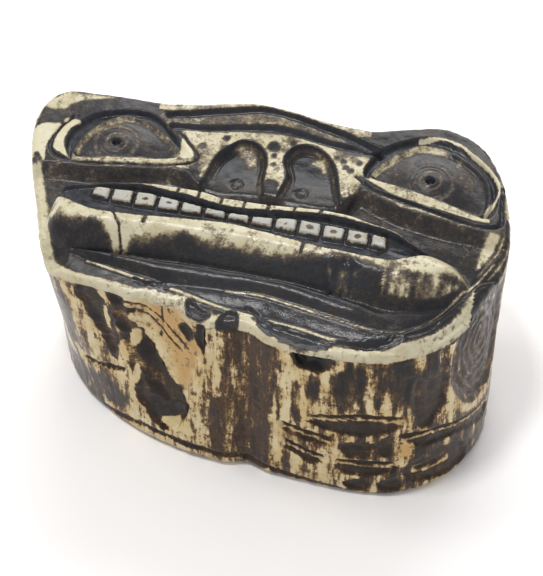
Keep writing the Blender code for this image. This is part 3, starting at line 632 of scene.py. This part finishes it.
def eye_patina(patina, face, x, y):
    """The eyes' sockets, eyeballs and lids."""
    for side, pupil in (("left", LEFT_PUPIL), ("right", RIGHT_PUPIL)):
        in_socket, in_eye = face[side + "_socket"], face[side + "_eye"]
        radius = np.hypot(x - pupil[0], y - pupil[1])
        lay(patina, in_socket, DARK_DEEP + 0.2)
        lay(patina, in_eye, BROWN_DEEP + 0.24, 0.1)
        lay(patina, 0.28 - np.abs(radius - IRIS_RADIUS), STAINED + 0.12, 0.25)
        lay(patina, 0.2 - np.abs(radius - 0.5 * IRIS_RADIUS), STAINED + 0.1, 0.25)
        lay(patina, PUPIL_RADIUS - radius, BLACK_DEEP)
    left_arc = np.minimum(0.72 - face["left_eye"], face["left_eye"] - 0.05)
    lay(patina, np.where(y > 5.6, left_arc, -1.0), STAINED - 0.12, 0.3)
    right_arc = np.minimum(0.85 - face["right_eye"], face["right_eye"] - 0.02)
    right_arc = np.minimum(right_arc, 0.25 * (23.0 - x))
    lay(patina, np.where(y > 8.4, right_arc, -1.0), WORN, 0.3)
    lay(patina, depth_inside(RIGHT_EYE_BROWN, x, y), BROWN_DEEP + 0.1)
    lay(patina, depth_inside(RIGHT_EYE_WORN, x, y), STAINED + 0.08, 0.5)
    left_lid = np.minimum(line_height([(-26.5, 5.3), (-20.0, 5.9), (-13.0, 7.3)], x) - y, y - 4.4)
    lay(patina, np.where((x > -26.6) & (x < -12.6), np.minimum(left_lid, 0.5), -1.0), WORN - 0.05)
    right_lid = line_height([(13.0, 8.0), (20.0, 5.9), (25.0, 4.6), (29.0, 3.6)], x) - y
    right_lid = np.minimum(right_lid, 9.0 - y)
    above_line = y - line_height(LID_LINE, x)
    below_line = np.minimum(-above_line, 1.6 + above_line)
    lay(patina, np.where((x > 12.8) & (x < 29.6), np.minimum(right_lid, above_line), -1.0), WORN - 0.12)
    lay(patina, np.where((x > 14.0) & (x < 28.0), below_line, -1.0), BROWN_DEEP)
    lay(patina, 0.22 - from_line(LID_EDGE, x, y), WORN)
    lay(patina, 0.14 - from_line(LEFT_LID_EDGE, x, y), WORN + 0.1)
    lay(patina, 0.2 - from_line(LID_LINE, x, y), BLACK_DEEP, 0.12)


def upper_patina(face, x, y):
    """The patina of the brow, the eyes and the nose."""
    patina = np.full(x.shape, DARK_DEEP - 0.1)
    rim_side = y - line_height(RIGHT_BROW_EDGE, x)
    behind_brow = np.where((x > -17.0) & (x < 12.5), y - line_height(UPPER_BROW, x) - 0.6, -1.0)
    lay(patina, behind_brow, WORN)
    lay(patina, np.where(x > 12.5, rim_side, -1.0), BROWN_DEEP, 0.6)
    lay(patina, np.where(y > 4.0, 0.5 - face["from_rim"], -1.0), WORN - 0.1, 0.35)
    between = np.minimum(line_height(UPPER_BROW, x) - y, y - line_height(LOWER_BROW, x))
    lay(patina, np.where((x > -16.5) & (x < 13.6), between, -1.0), STAINED)
    lay(patina, depth_inside(LEFT_CORNER_WORN, x, y), WORN - 0.05, 0.4)
    lay(patina, depth_inside(LEFT_CHEEK_WORN, x, y), BARE)
    lay(patina, depth_inside(BROW_END, x, y), DARK_DEEP + 0.2)
    lay(patina, depth_inside(NOSE_PANEL, x, y), WORN - 0.02 + 0.2 * rough(43, x, y, 1.8))
    for middle, radius in PANEL_PITS:
        lay(patina, radius - np.hypot(x - middle[0], y - middle[1]), DARK_DEEP, 0.25)
    eye_patina(patina, face, x, y)
    lay(patina, depth_inside(LEFT_EYE_WHITE, x, y), BARE)
    lay(patina, depth_inside(LEFT_EYE_CORNER, x, y), BARE)
    lay(patina, 0.17 - face["eye_line"], BLACK_DEEP, 0.12)
    lay(patina, 0.14 - from_line(OUTER_LINE, x, y), BLACK_DEEP, 0.12)
    lay(patina, 0.2 - from_line(WHITE_LINE, x, y), BARE - 0.3, 0.14)
    lay(patina, 0.7 - face["upper_brow"], DARK_DEEP + 0.15)
    lay(patina, 0.55 - face["lower_brow"], DARK_DEEP + 0.1)
    for side in ("left", "right"):
        inside = face[side + "_nostril"]
        lay(patina, inside, BROWN_DEEP + 0.2)
        lay(patina, 0.16 - np.abs(inside - 0.15), BLACK_DEEP, 0.15)
        lay(patina, 0.12 - np.abs(inside - 0.6), STAINED + 0.05, 0.2)
        lay(patina, 0.12 - np.abs(inside - 1.05), DARK_DEEP, 0.15)
    lay(patina, depth_inside(LEFT_NOSTRIL_CORE, x, y), BLACK_DEEP, 0.6)
    lay(patina, np.where(y > 6.0, face["right_nostril"] - 1.4, -1.0), BLACK_DEEP, 0.6)
    lay(patina, depth_inside(LEFT_NOSTRIL_WORN, x, y), STAINED - 0.14, 0.4)
    lay(patina, depth_inside(RIGHT_NOSTRIL_WORN, x, y), WORN + 0.06, 0.3)
    return patina


def lower_patina(face, x, y):
    """The patina of the mouth, the lips and what lies before them."""
    patina = np.full(x.shape, DARK_DEEP)
    lay(patina, np.where(y > -3.0, -face["upper"], -1.0), BROWN_DEEP + 0.12)
    behind_mouth = y > line_height(TEETH_TOP, x)
    ridge = np.minimum(face["lips"] - 0.25, -face["mouth"] + 0.2)
    lay(patina, np.where(behind_mouth & (x > -20.5), ridge, -1.0), BARE + 0.22)
    wear = np.minimum(y - line_height(LIP_WEAR, x), face["lips"] - 0.1)
    lay(patina, np.where(behind_mouth, -1.0, wear), BARE + 0.2 + 0.24 * rough(45, x, y, 1.4), 0.8)
    end = np.where((x > 17.5) & (y < -6.0), face["lips"] - 0.5, -1.0)
    end = ease(0.0, 0.4, end) * ease(-6.8, -8.2, y) * ease(-10.6, -9.8, y)
    patina += (STAINED - 0.06 + 0.5 * rough(41, x, y * 0.1, 0.36) - patina) * end
    lay(patina, face["mouth"], DARK_DEEP + 0.25, 0.12)
    patina += (BARE + 0.2 + 0.12 * rough(44, x, y, 1.2) - patina) * face["teeth"]
    for middle, radii in TOOTH_SPOTS:
        lay(patina, 1.0 - from_middle(middle, radii, x, y), BROWN_DEEP, 0.35)
    lay(patina, 0.12 - face["cracks"], BLACK_DEEP, 0.15)
    chip = 1.0 - from_middle(*LIP_CHIP, x, y)
    lay(patina, chip, DARK_DEEP - 0.16 - 0.5 * rough(42, x * 1.6, y * 0.7, 0.6), 0.3)
    lay(patina, np.where((x > -2.0) & (x < 31.0), 0.14 - face["chin_line"], -1.0), WORN - 0.1, 0.16)
    for line in END_STRIPES:
        lay(patina, 0.14 - from_line(line, x, y), WORN, 0.16)
    lay(patina, depth_inside(RIGHT_STRIP, x, y), WORN - 0.2, 0.3)
    lay(patina, 0.2 - face["rim_line"], WORN - 0.2, 0.16)
    lay(patina, np.where(x < 29.0, 1.5 - face["from_rim"], -1.0), WORN - 0.2, 0.3)
    lay(patina, np.where(face["from_rim"] < 3.0, face["facets"], -1.0), DARK_DEEP, 0.12)
    return patina


def face_patina(face, x, y):
    """How deep the patina lies on the face: negative where worn ivory is bare."""
    front = ease(0.4, -0.4, face["upper"]) + np.zeros(x.shape)
    return upper_patina(face, x, y) * (1.0 - front) + lower_patina(face, x, y) * front


def outline_radius(outline, bearing):
    """The distance from the axis to a smooth closed outline, at each bearing."""
    line = smooth_line(outline, closed=True)[:-1]
    angles = np.arctan2(line[:, 1], line[:, 0])
    order = np.argsort(angles)
    return np.interp(bearing, angles[order], np.hypot(line[:, 0], line[:, 1])[order], period=2 * math.pi)


def way_round(bearing):
    """How far round the wall each bearing is from the middle of the front; positive to the right."""
    turn = np.linspace(-math.pi, math.pi, 721)
    radius = 0.5 * (outline_radius(BASE_OUTLINE, turn) + outline_radius(RIM_OUTLINE, turn))
    steps = np.hypot(np.diff(radius * np.cos(turn)), np.diff(radius * np.sin(turn)))
    length = np.concatenate([[0.0], np.cumsum(steps)])
    front = np.interp(-math.pi / 2, turn, length)
    return np.interp(bearing, turn, length - front)


def chop(line, around, rise):
    """How far each place on the wall is into one chop: sharp above, and running out below."""
    path = np.array(line)
    drop = np.interp(around, path[:, 0], path[:, 1]) - rise
    ends = np.minimum(around - path[0, 0], path[-1, 0] - around)
    return ease(0.0, 1.5, ends) * ease(-0.1, 0.12, drop) * ease(1.6, 0.4, drop)


def read_wall(around, rise):
    """The distances on the wall that its relief and its patina are worked out from."""
    ragged = 0.45 * rough(21, around, rise, 1.6) + 0.3 * rough(22, around, rise, 0.7)
    outlines = {
        "scar": FLAKE_SCAR, "left_pit": LEFT_PIT, "long_pit": LONG_PIT, "pool": PIT_POOL,
        "orange": ORANGE_PATCH, "column": BROWN_COLUMN,
    }
    wall = {name: depth_inside(outline, around, rise) + ragged for name, outline in outlines.items()}
    wall["orange"] = np.maximum(wall["orange"], depth_inside(ORANGE_CHIP, around, rise) + 0.6)
    for name, chips, share in (("chips", WALL_CHIPS, 0.35), ("marks", SCAR_MARKS, 0.4)):
        wall[name] = np.max([depth_inside(chip, around, rise) for chip in chips], axis=0) + share * ragged
    wall["ragged"] = ragged
    wall["knot"] = 1.0 - from_middle(KNOT, KNOT_RADII, around, rise)
    wall["hole"] = 1.0 - from_middle(*RIM_HOLE, around, rise) + 0.4 * ragged
    wall["facets"] = rim_facets(around, rise, 0.12 * ragged)
    # Painted highlights: where the glints lie
    wall["glints"] = deepest_spot(SCAR_GLINTS, around, rise) + 0.6 * ragged
    wall["cracks"] = np.min([distance_to(np.array(crack), around, rise) for crack in SCAR_CRACKS], axis=0)
    wall["edge"] = from_line(SCAR_EDGE, around, rise) + 0.35 * ragged
    wall["chops"] = np.max([chop(cut, around, rise) for cut in CUTS], axis=0)
    wall["base_line"] = from_line(BASE_LINE, around, rise)
    return wall


def wall_depth(wall, around, rise):
    """How deep the wall's valley, flake scar, pits, knot, facets, chops and grain go."""
    depth = VALLEY_DEPTH * ease(VALLEY_REACH, 0.0, np.abs(around - VALLEY_PLACE))
    for name, (deepest, reach) in WALL_DEPTHS.items():
        depth += deepest * ease(0.0, reach, wall[name])
    depth -= SCAR_EDGE_RISE * ease(0.7, 0.0, wall["edge"])
    depth += SCAR_CRACK_DEPTH * ease(0.25, 0.05, wall["cracks"])
    depth += knot_rings(wall)
    depth += (HOLE_DEPTH + 0.7 * wall["ragged"]) * ease(0.0, 0.4, wall["hole"])
    depth += CHOP_DEPTH * wall["chops"]
    depth += BASE_LINE_DEPTH * ease(0.5, 0.1, wall["base_line"])
    depth += 0.07 * rough(31, around, rise * 0.12, 1.1) + 0.05 * rough(32, around, rise * 0.1, 0.45)
    depth += 0.12 * np.maximum(rough(34, around * 0.5, rise, 1.3), 0.0) * ease(12.0, 18.0, around)
    return depth + 0.08 * rough(33, around, rise, 4.0)


def knot_rings(wall):
    """Shallow growth rings that run round inside the knot."""
    inside = np.maximum(wall["knot"], 0.0)
    return KNOT_RING_DEPTH * np.sin(inside * 38.0 + 1.5 * wall["ragged"]) * ease(0.05, 0.25, inside)


def streaks(around, rise, seed, width):
    """Upright streaks from -1 to 1, about as wide as given and much longer."""
    return rough(seed, around + 0.25 * rough(seed + 1, around, rise, 5.0), rise * 0.11, width)


def stained_wall(wall, around, rise):
    """The patina of the bare wall: broad stains, broken up by upright streaks."""
    clean = ease(-2.0, -6.0, around) * ease(-28.0, -22.0, around)
    patina = -0.16 - 0.1 * clean + 0.16 * rough(61, around, rise * 0.5, 5.0)
    for middle, radii, level in WALL_STAINS:
        share = ease(1.3, 0.55, from_middle(middle, radii, around, rise) + 0.25 * wall["ragged"])
        patina = np.maximum(patina, patina + (level - patina) * share)
    bold = 0.42 * streaks(around, rise, 63, 0.95) + 0.26 * streaks(around, rise, 65, 0.5)
    return patina + bold * (1.0 - 0.5 * clean) + 0.14 * rough(66, around, rise, 1.1)


def scar_patina(patina, wall, around, rise):
    """The patina of the flake scar and the pits round it."""
    pitted = 0.5 * rough(73, around + 0.4 * rise, rise * 0.3, 0.9)
    lay(patina, wall["scar"], WORN - 0.14 + 0.2 * rough(69, around, rise, 1.5), 0.3)
    lay(patina, wall["left_pit"], BROWN_DEEP + 0.2 + 0.45 * rough(71, around, rise * 0.4, 0.9), 0.25)
    lay(patina, wall["long_pit"], BROWN_DEEP + 0.16 + pitted, 0.25)
    lay(patina, wall["pool"], BROWN_DEEP + 0.1, 0.5)
    lay(patina, wall["marks"], DARK_DEEP, 0.3)
    lay(patina, 0.1 - wall["cracks"], DARK_DEEP, 0.15)
    lay(patina, 0.6 - wall["edge"], BARE + 0.1 + 0.6 * np.maximum(rough(75, around, rise, 1.0), 0.0), 0.3)


def knot_patina(patina, wall, around, rise):
    """The patina of the knot, with its rings and a worn edge."""
    rings = np.maximum(wall["knot"], 0.0) * 34.0 + 0.9 * (around - KNOT[0]) + 3.5 * wall["ragged"]
    grain = 0.4 * streaks(around, rise, 81, 0.55) * ease(18.0, 26.0, rise)
    lay(patina, wall["knot"], BROWN_DEEP - 0.02 - 0.28 * np.sin(rings) + grain, 0.06)
    lay(patina, np.where(rise < 27.0, 0.07 - np.abs(wall["knot"] + 0.04), -1.0), WORN - 0.2, 0.05)


def wall_patina(wall, around, rise):
    """How deep the patina lies on the wall, with painted glints: small highlights laid in lighter than
    bare ivory.
    """
    patina = stained_wall(wall, around, rise)
    lay(patina, wall["column"], BROWN_DEEP - 0.04 + 0.34 * streaks(around, rise, 67, 0.8), 0.5)
    scar_patina(patina, wall, around, rise)
    knot_patina(patina, wall, around, rise)
    lay(patina, wall["chips"], BROWN_DEEP + 0.06 + 0.2 * rough(77, around, rise, 1.4), 0.25)
    lay(patina, depth_inside(ORANGE_CHIP, around, rise), STAINED - 0.2, 0.3)
    lay(patina, np.where(wall["chops"] > 0.02, 0.3 - np.abs(wall["chops"] - 0.12), -1.0), WORN - 0.1, 0.1)
    lay(patina, 0.45 - wall["base_line"] + 0.5 * wall["ragged"], DARK_DEEP - 0.1, 0.2)
    # Painted highlights: the glints, laid in lighter than bare ivory
    lay(patina, wall["glints"], BARE - 0.2, 0.2)
    rim = rise - RIM_WORN_FROM + 0.8 * wall["ragged"]
    rim -= 0.9 * ease(14.0, 20.0, around) * ease(30.0, 24.0, around)
    lay(patina, np.where((around > -26.0) & (around < 32.0), rim, -1.0), WORN - 0.2, 0.8)
    lay(patina, wall["hole"] + 0.35, WORN - 0.2, 0.15)
    lay(patina, wall["hole"], BLACK_DEEP - 0.2 + 0.5 * rough(79, around, rise, 0.7), 0.2)
    lay(patina, wall["facets"], DARK_DEEP, 0.12)
    return np.clip(patina, -1.0, 1.0)


def wall_streakiness(wall):
    """1 where the tusk's grain breaks the patina into streaks, and less on every mark."""
    marks = [wall[name] for name in ("chips", "hole", "pool", "marks", "scar", "left_pit", "long_pit")]
    smooth = np.maximum.reduce(marks + [wall["facets"] * 2.0, wall["knot"] * 6.0])
    return 1.0 - 0.75 * ease(-0.2, 0.4, smooth)


def wall_shape(bearing, rise):
    """The wall's radius, and the distances on it."""
    around = way_round(bearing)
    base, rim = outline_radius(BASE_OUTLINE, bearing), outline_radius(RIM_OUTLINE, bearing)
    radius = base + (rim - base) * ease(0.0, RIM_HEIGHT, rise)
    below = np.clip(1.0 - rise / BASE_EDGE, 0.0, 1.0)
    wall = read_wall(around, rise)
    radius = radius - wall_depth(wall, around, rise) - BASE_EDGE * (1.0 - np.sqrt(1.0 - below**2))
    return radius, wall, around


def square_to_disc(u, v):
    """Bends a square grid to the plan: the bearing of each point, and its share of the way to the rim."""
    share = np.maximum(np.abs(u), np.abs(v))
    wide = np.abs(u) >= np.abs(v)
    turn = np.where(wide, v, u) / np.maximum(share, 1e-9) * math.pi / 4
    along = np.where(wide, np.sign(u) * np.cos(turn), np.sin(turn))
    back = np.where(wide, np.sin(turn), np.sign(v) * np.cos(turn))
    return np.arctan2(back * FACE_DEPTH, along * FACE_LENGTH), share


def rim_order():
    """The grid's outer vertices, in order round the rim."""
    order = np.arange(FACE_COLUMNS * FACE_ROWS).reshape(FACE_ROWS, FACE_COLUMNS)
    return np.concatenate([order[0, :-1], order[:-1, -1], order[-1, :0:-1], order[:0:-1, 0]])


def carved_points():
    """The fine mesh's vertices in millimetres, with the fields that the material reads."""
    u, v = np.meshgrid(np.linspace(-1, 1, FACE_COLUMNS), np.linspace(-1, 1, FACE_ROWS))
    bearing, share = square_to_disc(u.ravel(), v.ravel())
    rim = wall_shape(bearing, np.full(bearing.shape, RIM_HEIGHT - RIM_EDGE))[0]
    x, y = share * rim * np.cos(bearing), share * rim * np.sin(bearing)
    from_rim = (1.0 - share) * rim
    face = read_face(x, y, from_rim)
    near = np.clip(1.0 - from_rim / RIM_EDGE, 0.0, 1.0)
    slope = math.tan(math.radians(FACE_TILT))
    z = RIM_HEIGHT + slope * y + face_level(face, x, y) - RIM_EDGE * (1.0 - np.sqrt(1.0 - near**2))
    points = [np.column_stack([x, y, z])]
    patina = [face_patina(face, x, y)]
    none = np.zeros(x.shape)
    # The fourth tone, slate, is a painted bluish sheen, strongest on the front of the lips and chin
    tones = [np.column_stack([none, face["teeth"], none, face_painted_sheen(face, x), none, none])]

    half = rim_order()[::2]
    for row in range(1, WALL_ROWS + 1):
        turn, rise = bearing[half], z[half] * (1.0 - row / WALL_ROWS)
        radius, wall, around = wall_shape(turn, rise)
        points.append(np.column_stack([radius * np.cos(turn), radius * np.sin(turn), rise]))
        patina.append(wall_patina(wall, around, rise))
        none = np.zeros(rise.shape)
        # The fourth tone here, slate, is the wall's painted bluish sheen
        tones.append(np.column_stack([wall_streakiness(wall), none, ease(-0.5, 1.4, wall["orange"]),
                                      wall_painted_sheen(wall), ease(-0.5, 0.5, wall["column"]), none + 1.0]))
    tones = np.vstack(tones)
    fields = {name: tones[:, place] for place, name in enumerate(TONES)}
    fields["patina"] = np.concatenate(patina)
    return np.vstack(points), fields


def face_painted_sheen(face, x):
    """How much painted bluish sheen, a reflection of the bright surroundings painted into the colour,
    lies over the dark patina at each point of the face: most on the front of the lips and chin, in the
    mouth, the sockets and the brows.
    """
    painted_sheen = 0.15 + 0.45 * face["front"] * ease(16.0, 8.0, np.abs(x - 4.0))
    painted_sheen = np.maximum(painted_sheen, 0.9 * ease(0.0, 0.2, face["mouth"]))
    for side in ("left", "right"):
        painted_sheen = np.where(face[side + "_socket"] > 0.0, 0.9, painted_sheen)
        painted_sheen = np.where(face[side + "_eye"] > 0.3, 0.25, painted_sheen)
        painted_sheen = np.where(face[side + "_nostril"] > 0.0, 0.1, painted_sheen)
    painted_sheen = np.maximum(painted_sheen, 0.9 * ease(0.8, 0.5, np.minimum(face["upper_brow"], face["lower_brow"])))
    return painted_sheen


def wall_painted_sheen(wall):
    """How much painted bluish sheen lies over the patina on the wall: a reflection painted into the
    colour, in the long pit's pool and on the facets.
    """
    return np.maximum(ease(-0.2, 0.5, wall["pool"]), 0.3 * ease(0.0, 0.5, wall["facets"]))


def carved_faces():
    """The fine mesh's quads: the grid, a ring that halves the columns, the wall, and one flat base."""
    order = np.arange(FACE_COLUMNS * FACE_ROWS).reshape(FACE_ROWS, FACE_COLUMNS)
    quads = np.stack([order[:-1, :-1], order[:-1, 1:], order[1:, 1:], order[1:, :-1]], axis=-1)
    faces = quads.reshape(-1, 4).tolist()
    ring = rim_order().tolist()
    count = len(ring) // 2
    first = FACE_COLUMNS * FACE_ROWS
    for i in range(count):
        a, b, c = ring[2 * i], ring[2 * i + 1], ring[(2 * i + 2) % len(ring)]
        d, e = first + i, first + (i + 1) % count
        faces.append([a, d, b])
        faces.append([b, d, e, c])
    for row in range(WALL_ROWS - 1):
        top = first + row * count
        for i in range(count):
            j = (i + 1) % count
            faces.append([top + i, top + count + i, top + count + j, top + j])
    faces.append(list(range(first + (WALL_ROWS - 1) * count, first + WALL_ROWS * count))[::-1])
    return faces


def fit_to_box(points, box):
    """The drawing's millimetres as metres, stretched where the CAD solid's size differs much."""
    stretch = (np.array(box[1]) - np.array(box[0])) / (points.max(axis=0) - points.min(axis=0))
    return points * np.where(np.abs(stretch / MM - 1.0) < BOX_TOLERANCE, MM, stretch)


def carving_piece():
    """The whole carving as one closed fine mesh."""
    points, fields = carved_points()
    mesh = bpy.data.meshes.new("carving")
    mesh.from_pydata(fit_to_box(points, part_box(NODE)).tolist(), [], carved_faces())
    for name, values in fields.items():
        layer = mesh.attributes.new(name, "FLOAT", "POINT")
        layer.data.foreach_set("value", values.astype(np.float32))
    mesh.shade_smooth()
    mesh.update()
    piece = bpy.data.objects.new("carving", mesh)
    bpy.context.scene.collection.objects.link(piece)
    return piece


class Nodes:
    """A small helper that adds shader nodes and joins them."""

    def __init__(self, material):
        self.tree = material.node_tree

    def add(self, kind, **inputs):
        node = self.tree.nodes.new(kind)
        for name, value in inputs.items():
            self.give(node, name.replace("_", " "), value)
        return node

    def give(self, node, name, value):
        """Joins a socket to an input, or sets the input's value; the name may be a place in the list."""
        if isinstance(value, bpy.types.NodeSocket):
            self.tree.links.new(value, node.inputs[name])
        else:
            node.inputs[name].default_value = value

    def maths(self, operation, first, second=0.0, third=0.0):
        node = self.tree.nodes.new("ShaderNodeMath")
        node.operation = operation
        for place, value in enumerate((first, second, third)):
            self.give(node, place, value)
        return node.outputs[0]

    def times(self, first, second):
        return self.maths("MULTIPLY", first, second)

    def field(self, name):
        node = self.tree.nodes.new("ShaderNodeAttribute")
        node.attribute_name = name
        return node.outputs["Fac"]

    def mix(self, share, first, second):
        node = self.tree.nodes.new("ShaderNodeMix")
        node.data_type = "RGBA"
        self.give(node, "Factor", share)
        self.give(node, 6, first)
        self.give(node, 7, second)
        return node.outputs[2]

    def span(self, value, low, high):
        node = self.tree.nodes.new("ShaderNodeMapRange")
        node.interpolation_type = "SMOOTHSTEP"
        self.give(node, "Value", value)
        self.give(node, "From Min", low)
        self.give(node, "From Max", high)
        return node.outputs[0]

    def blend(self, noises, weights):
        """Several noises, each moved to the middle of nothing and times its own weight."""
        total = -0.5 * sum(weights.values())
        for name, weight in weights.items():
            total = self.maths("MULTIPLY_ADD", noises[name], weight, total)
        return total

    def ramp(self, value, stops):
        """A colour ramp with the given stops."""
        node = self.tree.nodes.new("ShaderNodeValToRGB")
        elements = node.color_ramp.elements
        for place, colour in stops[1:-1]:
            elements.new(place).color = colour
        elements[0].color = stops[0][1]
        elements[-1].color = stops[-1][1]
        self.give(node, "Fac", value)
        return node.outputs["Color"]

    def noise(self, coordinates, scale, detail, roughness=0.55):
        node = self.add("ShaderNodeTexNoise", Vector=coordinates, Scale=scale, Detail=detail)
        self.give(node, "Roughness", roughness)
        return node.outputs["Fac"]


def ivory_noises(n):
    """The noises that break up the patina: even ones, and ones drawn out along the tusk's grain."""
    place = n.add("ShaderNodeTexCoord").outputs["Object"]
    grainwise = n.add("ShaderNodeMapping", Vector=place, Scale=(1.0, 1.0, GRAIN_STRETCH)).outputs[0]
    return {
        "fine": n.noise(place, *FINE_NOISE),
        "mottle": n.noise(place, *MOTTLE_NOISE),
        "broad": n.noise(place, *BROAD_NOISE),
        "hairs": n.noise(grainwise, *HAIR_NOISE),
        "streaks": n.noise(grainwise, *STREAK_NOISE),
    }


def patina_depth(n, noises):
    """How deep the patina lies: the field from the mesh, broken up by the face's or the wall's noises."""
    face_break = n.blend(noises, FACE_BREAK)
    change = n.maths("SUBTRACT", n.blend(noises, WALL_BREAK), face_break)
    broken = n.maths("MULTIPLY_ADD", change, n.field("streaky"), face_break)
    return n.maths("ADD", n.field("patina"), broken)


def bare_colour(n, noises, depth):
    """The ramps' colour, with cream, yellow, orange and enamel where the ivory is bare."""
    broad, brownness = noises["broad"], n.field("brownness")
    step = n.maths("MULTIPLY_ADD", depth, 0.5, 0.5)
    ramp = n.mix(brownness, n.ramp(step, FACE_RAMP), n.ramp(step, WALL_RAMP))
    bareness = n.span(depth, -0.1, -0.45)
    cream = n.mix(brownness, PALE_IVORY, WALL_CREAM)
    ivory = n.mix(n.times(bareness, n.span(broad, 0.3, 0.65)), ramp, cream)
    yellowed = n.times(n.span(noises["streaks"], 0.42, 0.62), n.times(bareness, n.field("streaky")))
    ivory = n.mix(n.times(yellowed, 0.7), ivory, YELLOW_IVORY)
    warm = n.times(n.field("orange"), n.times(bareness, n.span(broad, 0.25, 0.5)))
    ivory = n.mix(warm, ivory, ORANGE_IVORY)
    return n.mix(n.times(n.field("enamel"), bareness), ivory, ENAMEL)


def dark_colour(n, mottle, darkness, ivory):
    """Rust, and a painted bluish sheen that stands for reflections of the bright surroundings, in mottles
    over the dark patina.
    """
    rusty = n.times(n.field("rust"), n.times(darkness, n.span(mottle, 0.42, 0.7)))
    ivory = n.mix(rusty, ivory, RUST)
    # Painted reflection: a bluish sheen mixed over the dark patina wherever the slate field lies
    bluish_painted_sheen = n.times(n.field("painted_sheen"), n.times(darkness, n.span(mottle, 0.3, 0.7)))
    return n.mix(n.times(bluish_painted_sheen, 0.6), ivory, SLATE_PAINTED_SHEEN)


def ivory_bump(n, noises, darkness):
    """Fine unevenness: mottles and specks, the grain on the wall, and a dip where the patina lies."""
    grain = n.times(n.maths("ADD", noises["hairs"], noises["streaks"]), n.field("streaky"))
    height = n.maths("MULTIPLY_ADD", noises["mottle"], 0.6, n.times(noises["fine"], 0.35))
    height = n.maths("SUBTRACT", n.maths("ADD", height, grain), n.times(darkness, 0.5))
    bump = n.add("ShaderNodeBump", Height=height, Strength=BUMP_STRENGTH, Distance=BUMP_DISTANCE)
    return bump.outputs[0]


def ivory_material():
    """Worn ivory with a patina as deep as the fields say, broken up by fine noise and the grain, and a
    painted bluish sheen over its dark parts.
    """
    material = bpy.data.materials.new("old_ivory")
    material.use_nodes = True
    n = Nodes(material)
    shader = material.node_tree.nodes["Principled BSDF"]
    noises = ivory_noises(n)
    depth = patina_depth(n, noises)
    darkness = n.span(depth, 0.0, 0.35)
    ivory = bare_colour(n, noises, depth)
    least = n.maths("MULTIPLY_ADD", darkness, PATINA_ROUGHNESS, LEAST_ROUGHNESS)
    n.give(shader, "Base Color", dark_colour(n, noises["mottle"], darkness, ivory))
    n.give(shader, "Roughness", n.maths("MULTIPLY_ADD", noises["mottle"], MOTTLE_ROUGHNESS, least))
    shader.inputs["Specular IOR Level"].default_value = SPECULAR_LEVEL
    n.give(shader, "Normal", ivory_bump(n, noises, darkness))
    return material


def floor_material():
    """A plain pale surface with a faint soft sheen and a slow change of tone."""
    material = bpy.data.materials.new("pale_floor")
    material.use_nodes = True
    n = Nodes(material)
    shader = material.node_tree.nodes["Principled BSDF"]
    shader.inputs["Roughness"].default_value = FLOOR_ROUGHNESS
    tone = n.noise(n.add("ShaderNodeTexCoord").outputs["Object"], 6.0, 2.0)
    n.give(shader, "Base Color", n.mix(n.span(tone, 0.2, 0.8), FLOOR_COLOUR, FLOOR_SHADE))
    return material


def add_floor():
    """The floor under the carving."""
    bpy.ops.mesh.primitive_plane_add(size=FLOOR_SIZE, location=(0.0, 0.0, 0.0))
    floor = bpy.context.object
    floor.name = "floor"
    floor.data.materials.append(floor_material())


def add_light(name, place, aim, size, power):
    """A soft square lamp with white light."""
    lamp = bpy.data.lights.new(name, "AREA")
    lamp.shape = "SQUARE"
    lamp.size = size
    lamp.energy = power
    holder = bpy.data.objects.new(name, lamp)
    holder.location = place
    holder.rotation_euler = (Vector(aim) - Vector(place)).to_track_quat("-Z", "Y").to_euler()
    bpy.context.scene.collection.objects.link(holder)


def add_lights():
    """Soft white studio light: an even sky, a weak sun from the left, and two soft lamps."""
    for name, values in LAMPS.items():
        add_light(name, *values)
    sun = bpy.data.lights.new("key", "SUN")
    sun.energy = SUN_STRENGTH
    sun.angle = math.radians(SUN_ANGLE)
    holder = bpy.data.objects.new("key", sun)
    holder.rotation_euler = Vector(SUN_DIRECTION).to_track_quat("-Z", "Y").to_euler()
    bpy.context.scene.collection.objects.link(holder)
    world = bpy.data.worlds.new("studio")
    bpy.context.scene.world = world
    world.use_nodes = True
    sky = world.node_tree.nodes["Background"]
    sky.inputs["Color"].default_value = SKY_COLOUR
    sky.inputs["Strength"].default_value = SKY_STRENGTH


def add_camera():
    """The camera, looking down at the face as the photograph does."""
    data = bpy.data.cameras.new("camera")
    data.lens = LENS
    data.sensor_width = SENSOR
    data.clip_start = CAMERA_NEAR
    camera = bpy.data.objects.new("camera", data)
    azimuth, elevation = math.radians(CAMERA_AZIMUTH), math.radians(CAMERA_ELEVATION)
    level = math.cos(elevation)
    towards = Vector((-math.sin(azimuth) * level, math.cos(azimuth) * level, -math.sin(elevation)))
    camera.location = Vector(CAMERA_PLACE) * MM
    camera.rotation_euler = towards.to_track_quat("-Z", "Y").to_euler()
    bpy.context.scene.collection.objects.link(camera)
    bpy.context.scene.camera = camera


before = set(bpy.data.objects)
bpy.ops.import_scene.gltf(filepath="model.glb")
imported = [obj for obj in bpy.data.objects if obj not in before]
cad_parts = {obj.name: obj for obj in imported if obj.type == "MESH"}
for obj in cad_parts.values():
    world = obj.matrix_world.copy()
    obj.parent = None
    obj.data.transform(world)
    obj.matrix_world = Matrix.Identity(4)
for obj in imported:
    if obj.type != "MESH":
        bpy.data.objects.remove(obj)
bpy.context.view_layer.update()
bpy.context.scene.view_settings.view_transform = "Standard"
carving = carving_piece()
carving.data.materials.append(ivory_material())
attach(carving, "root")
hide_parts(NODE)
add_floor()
add_lights()
add_camera()
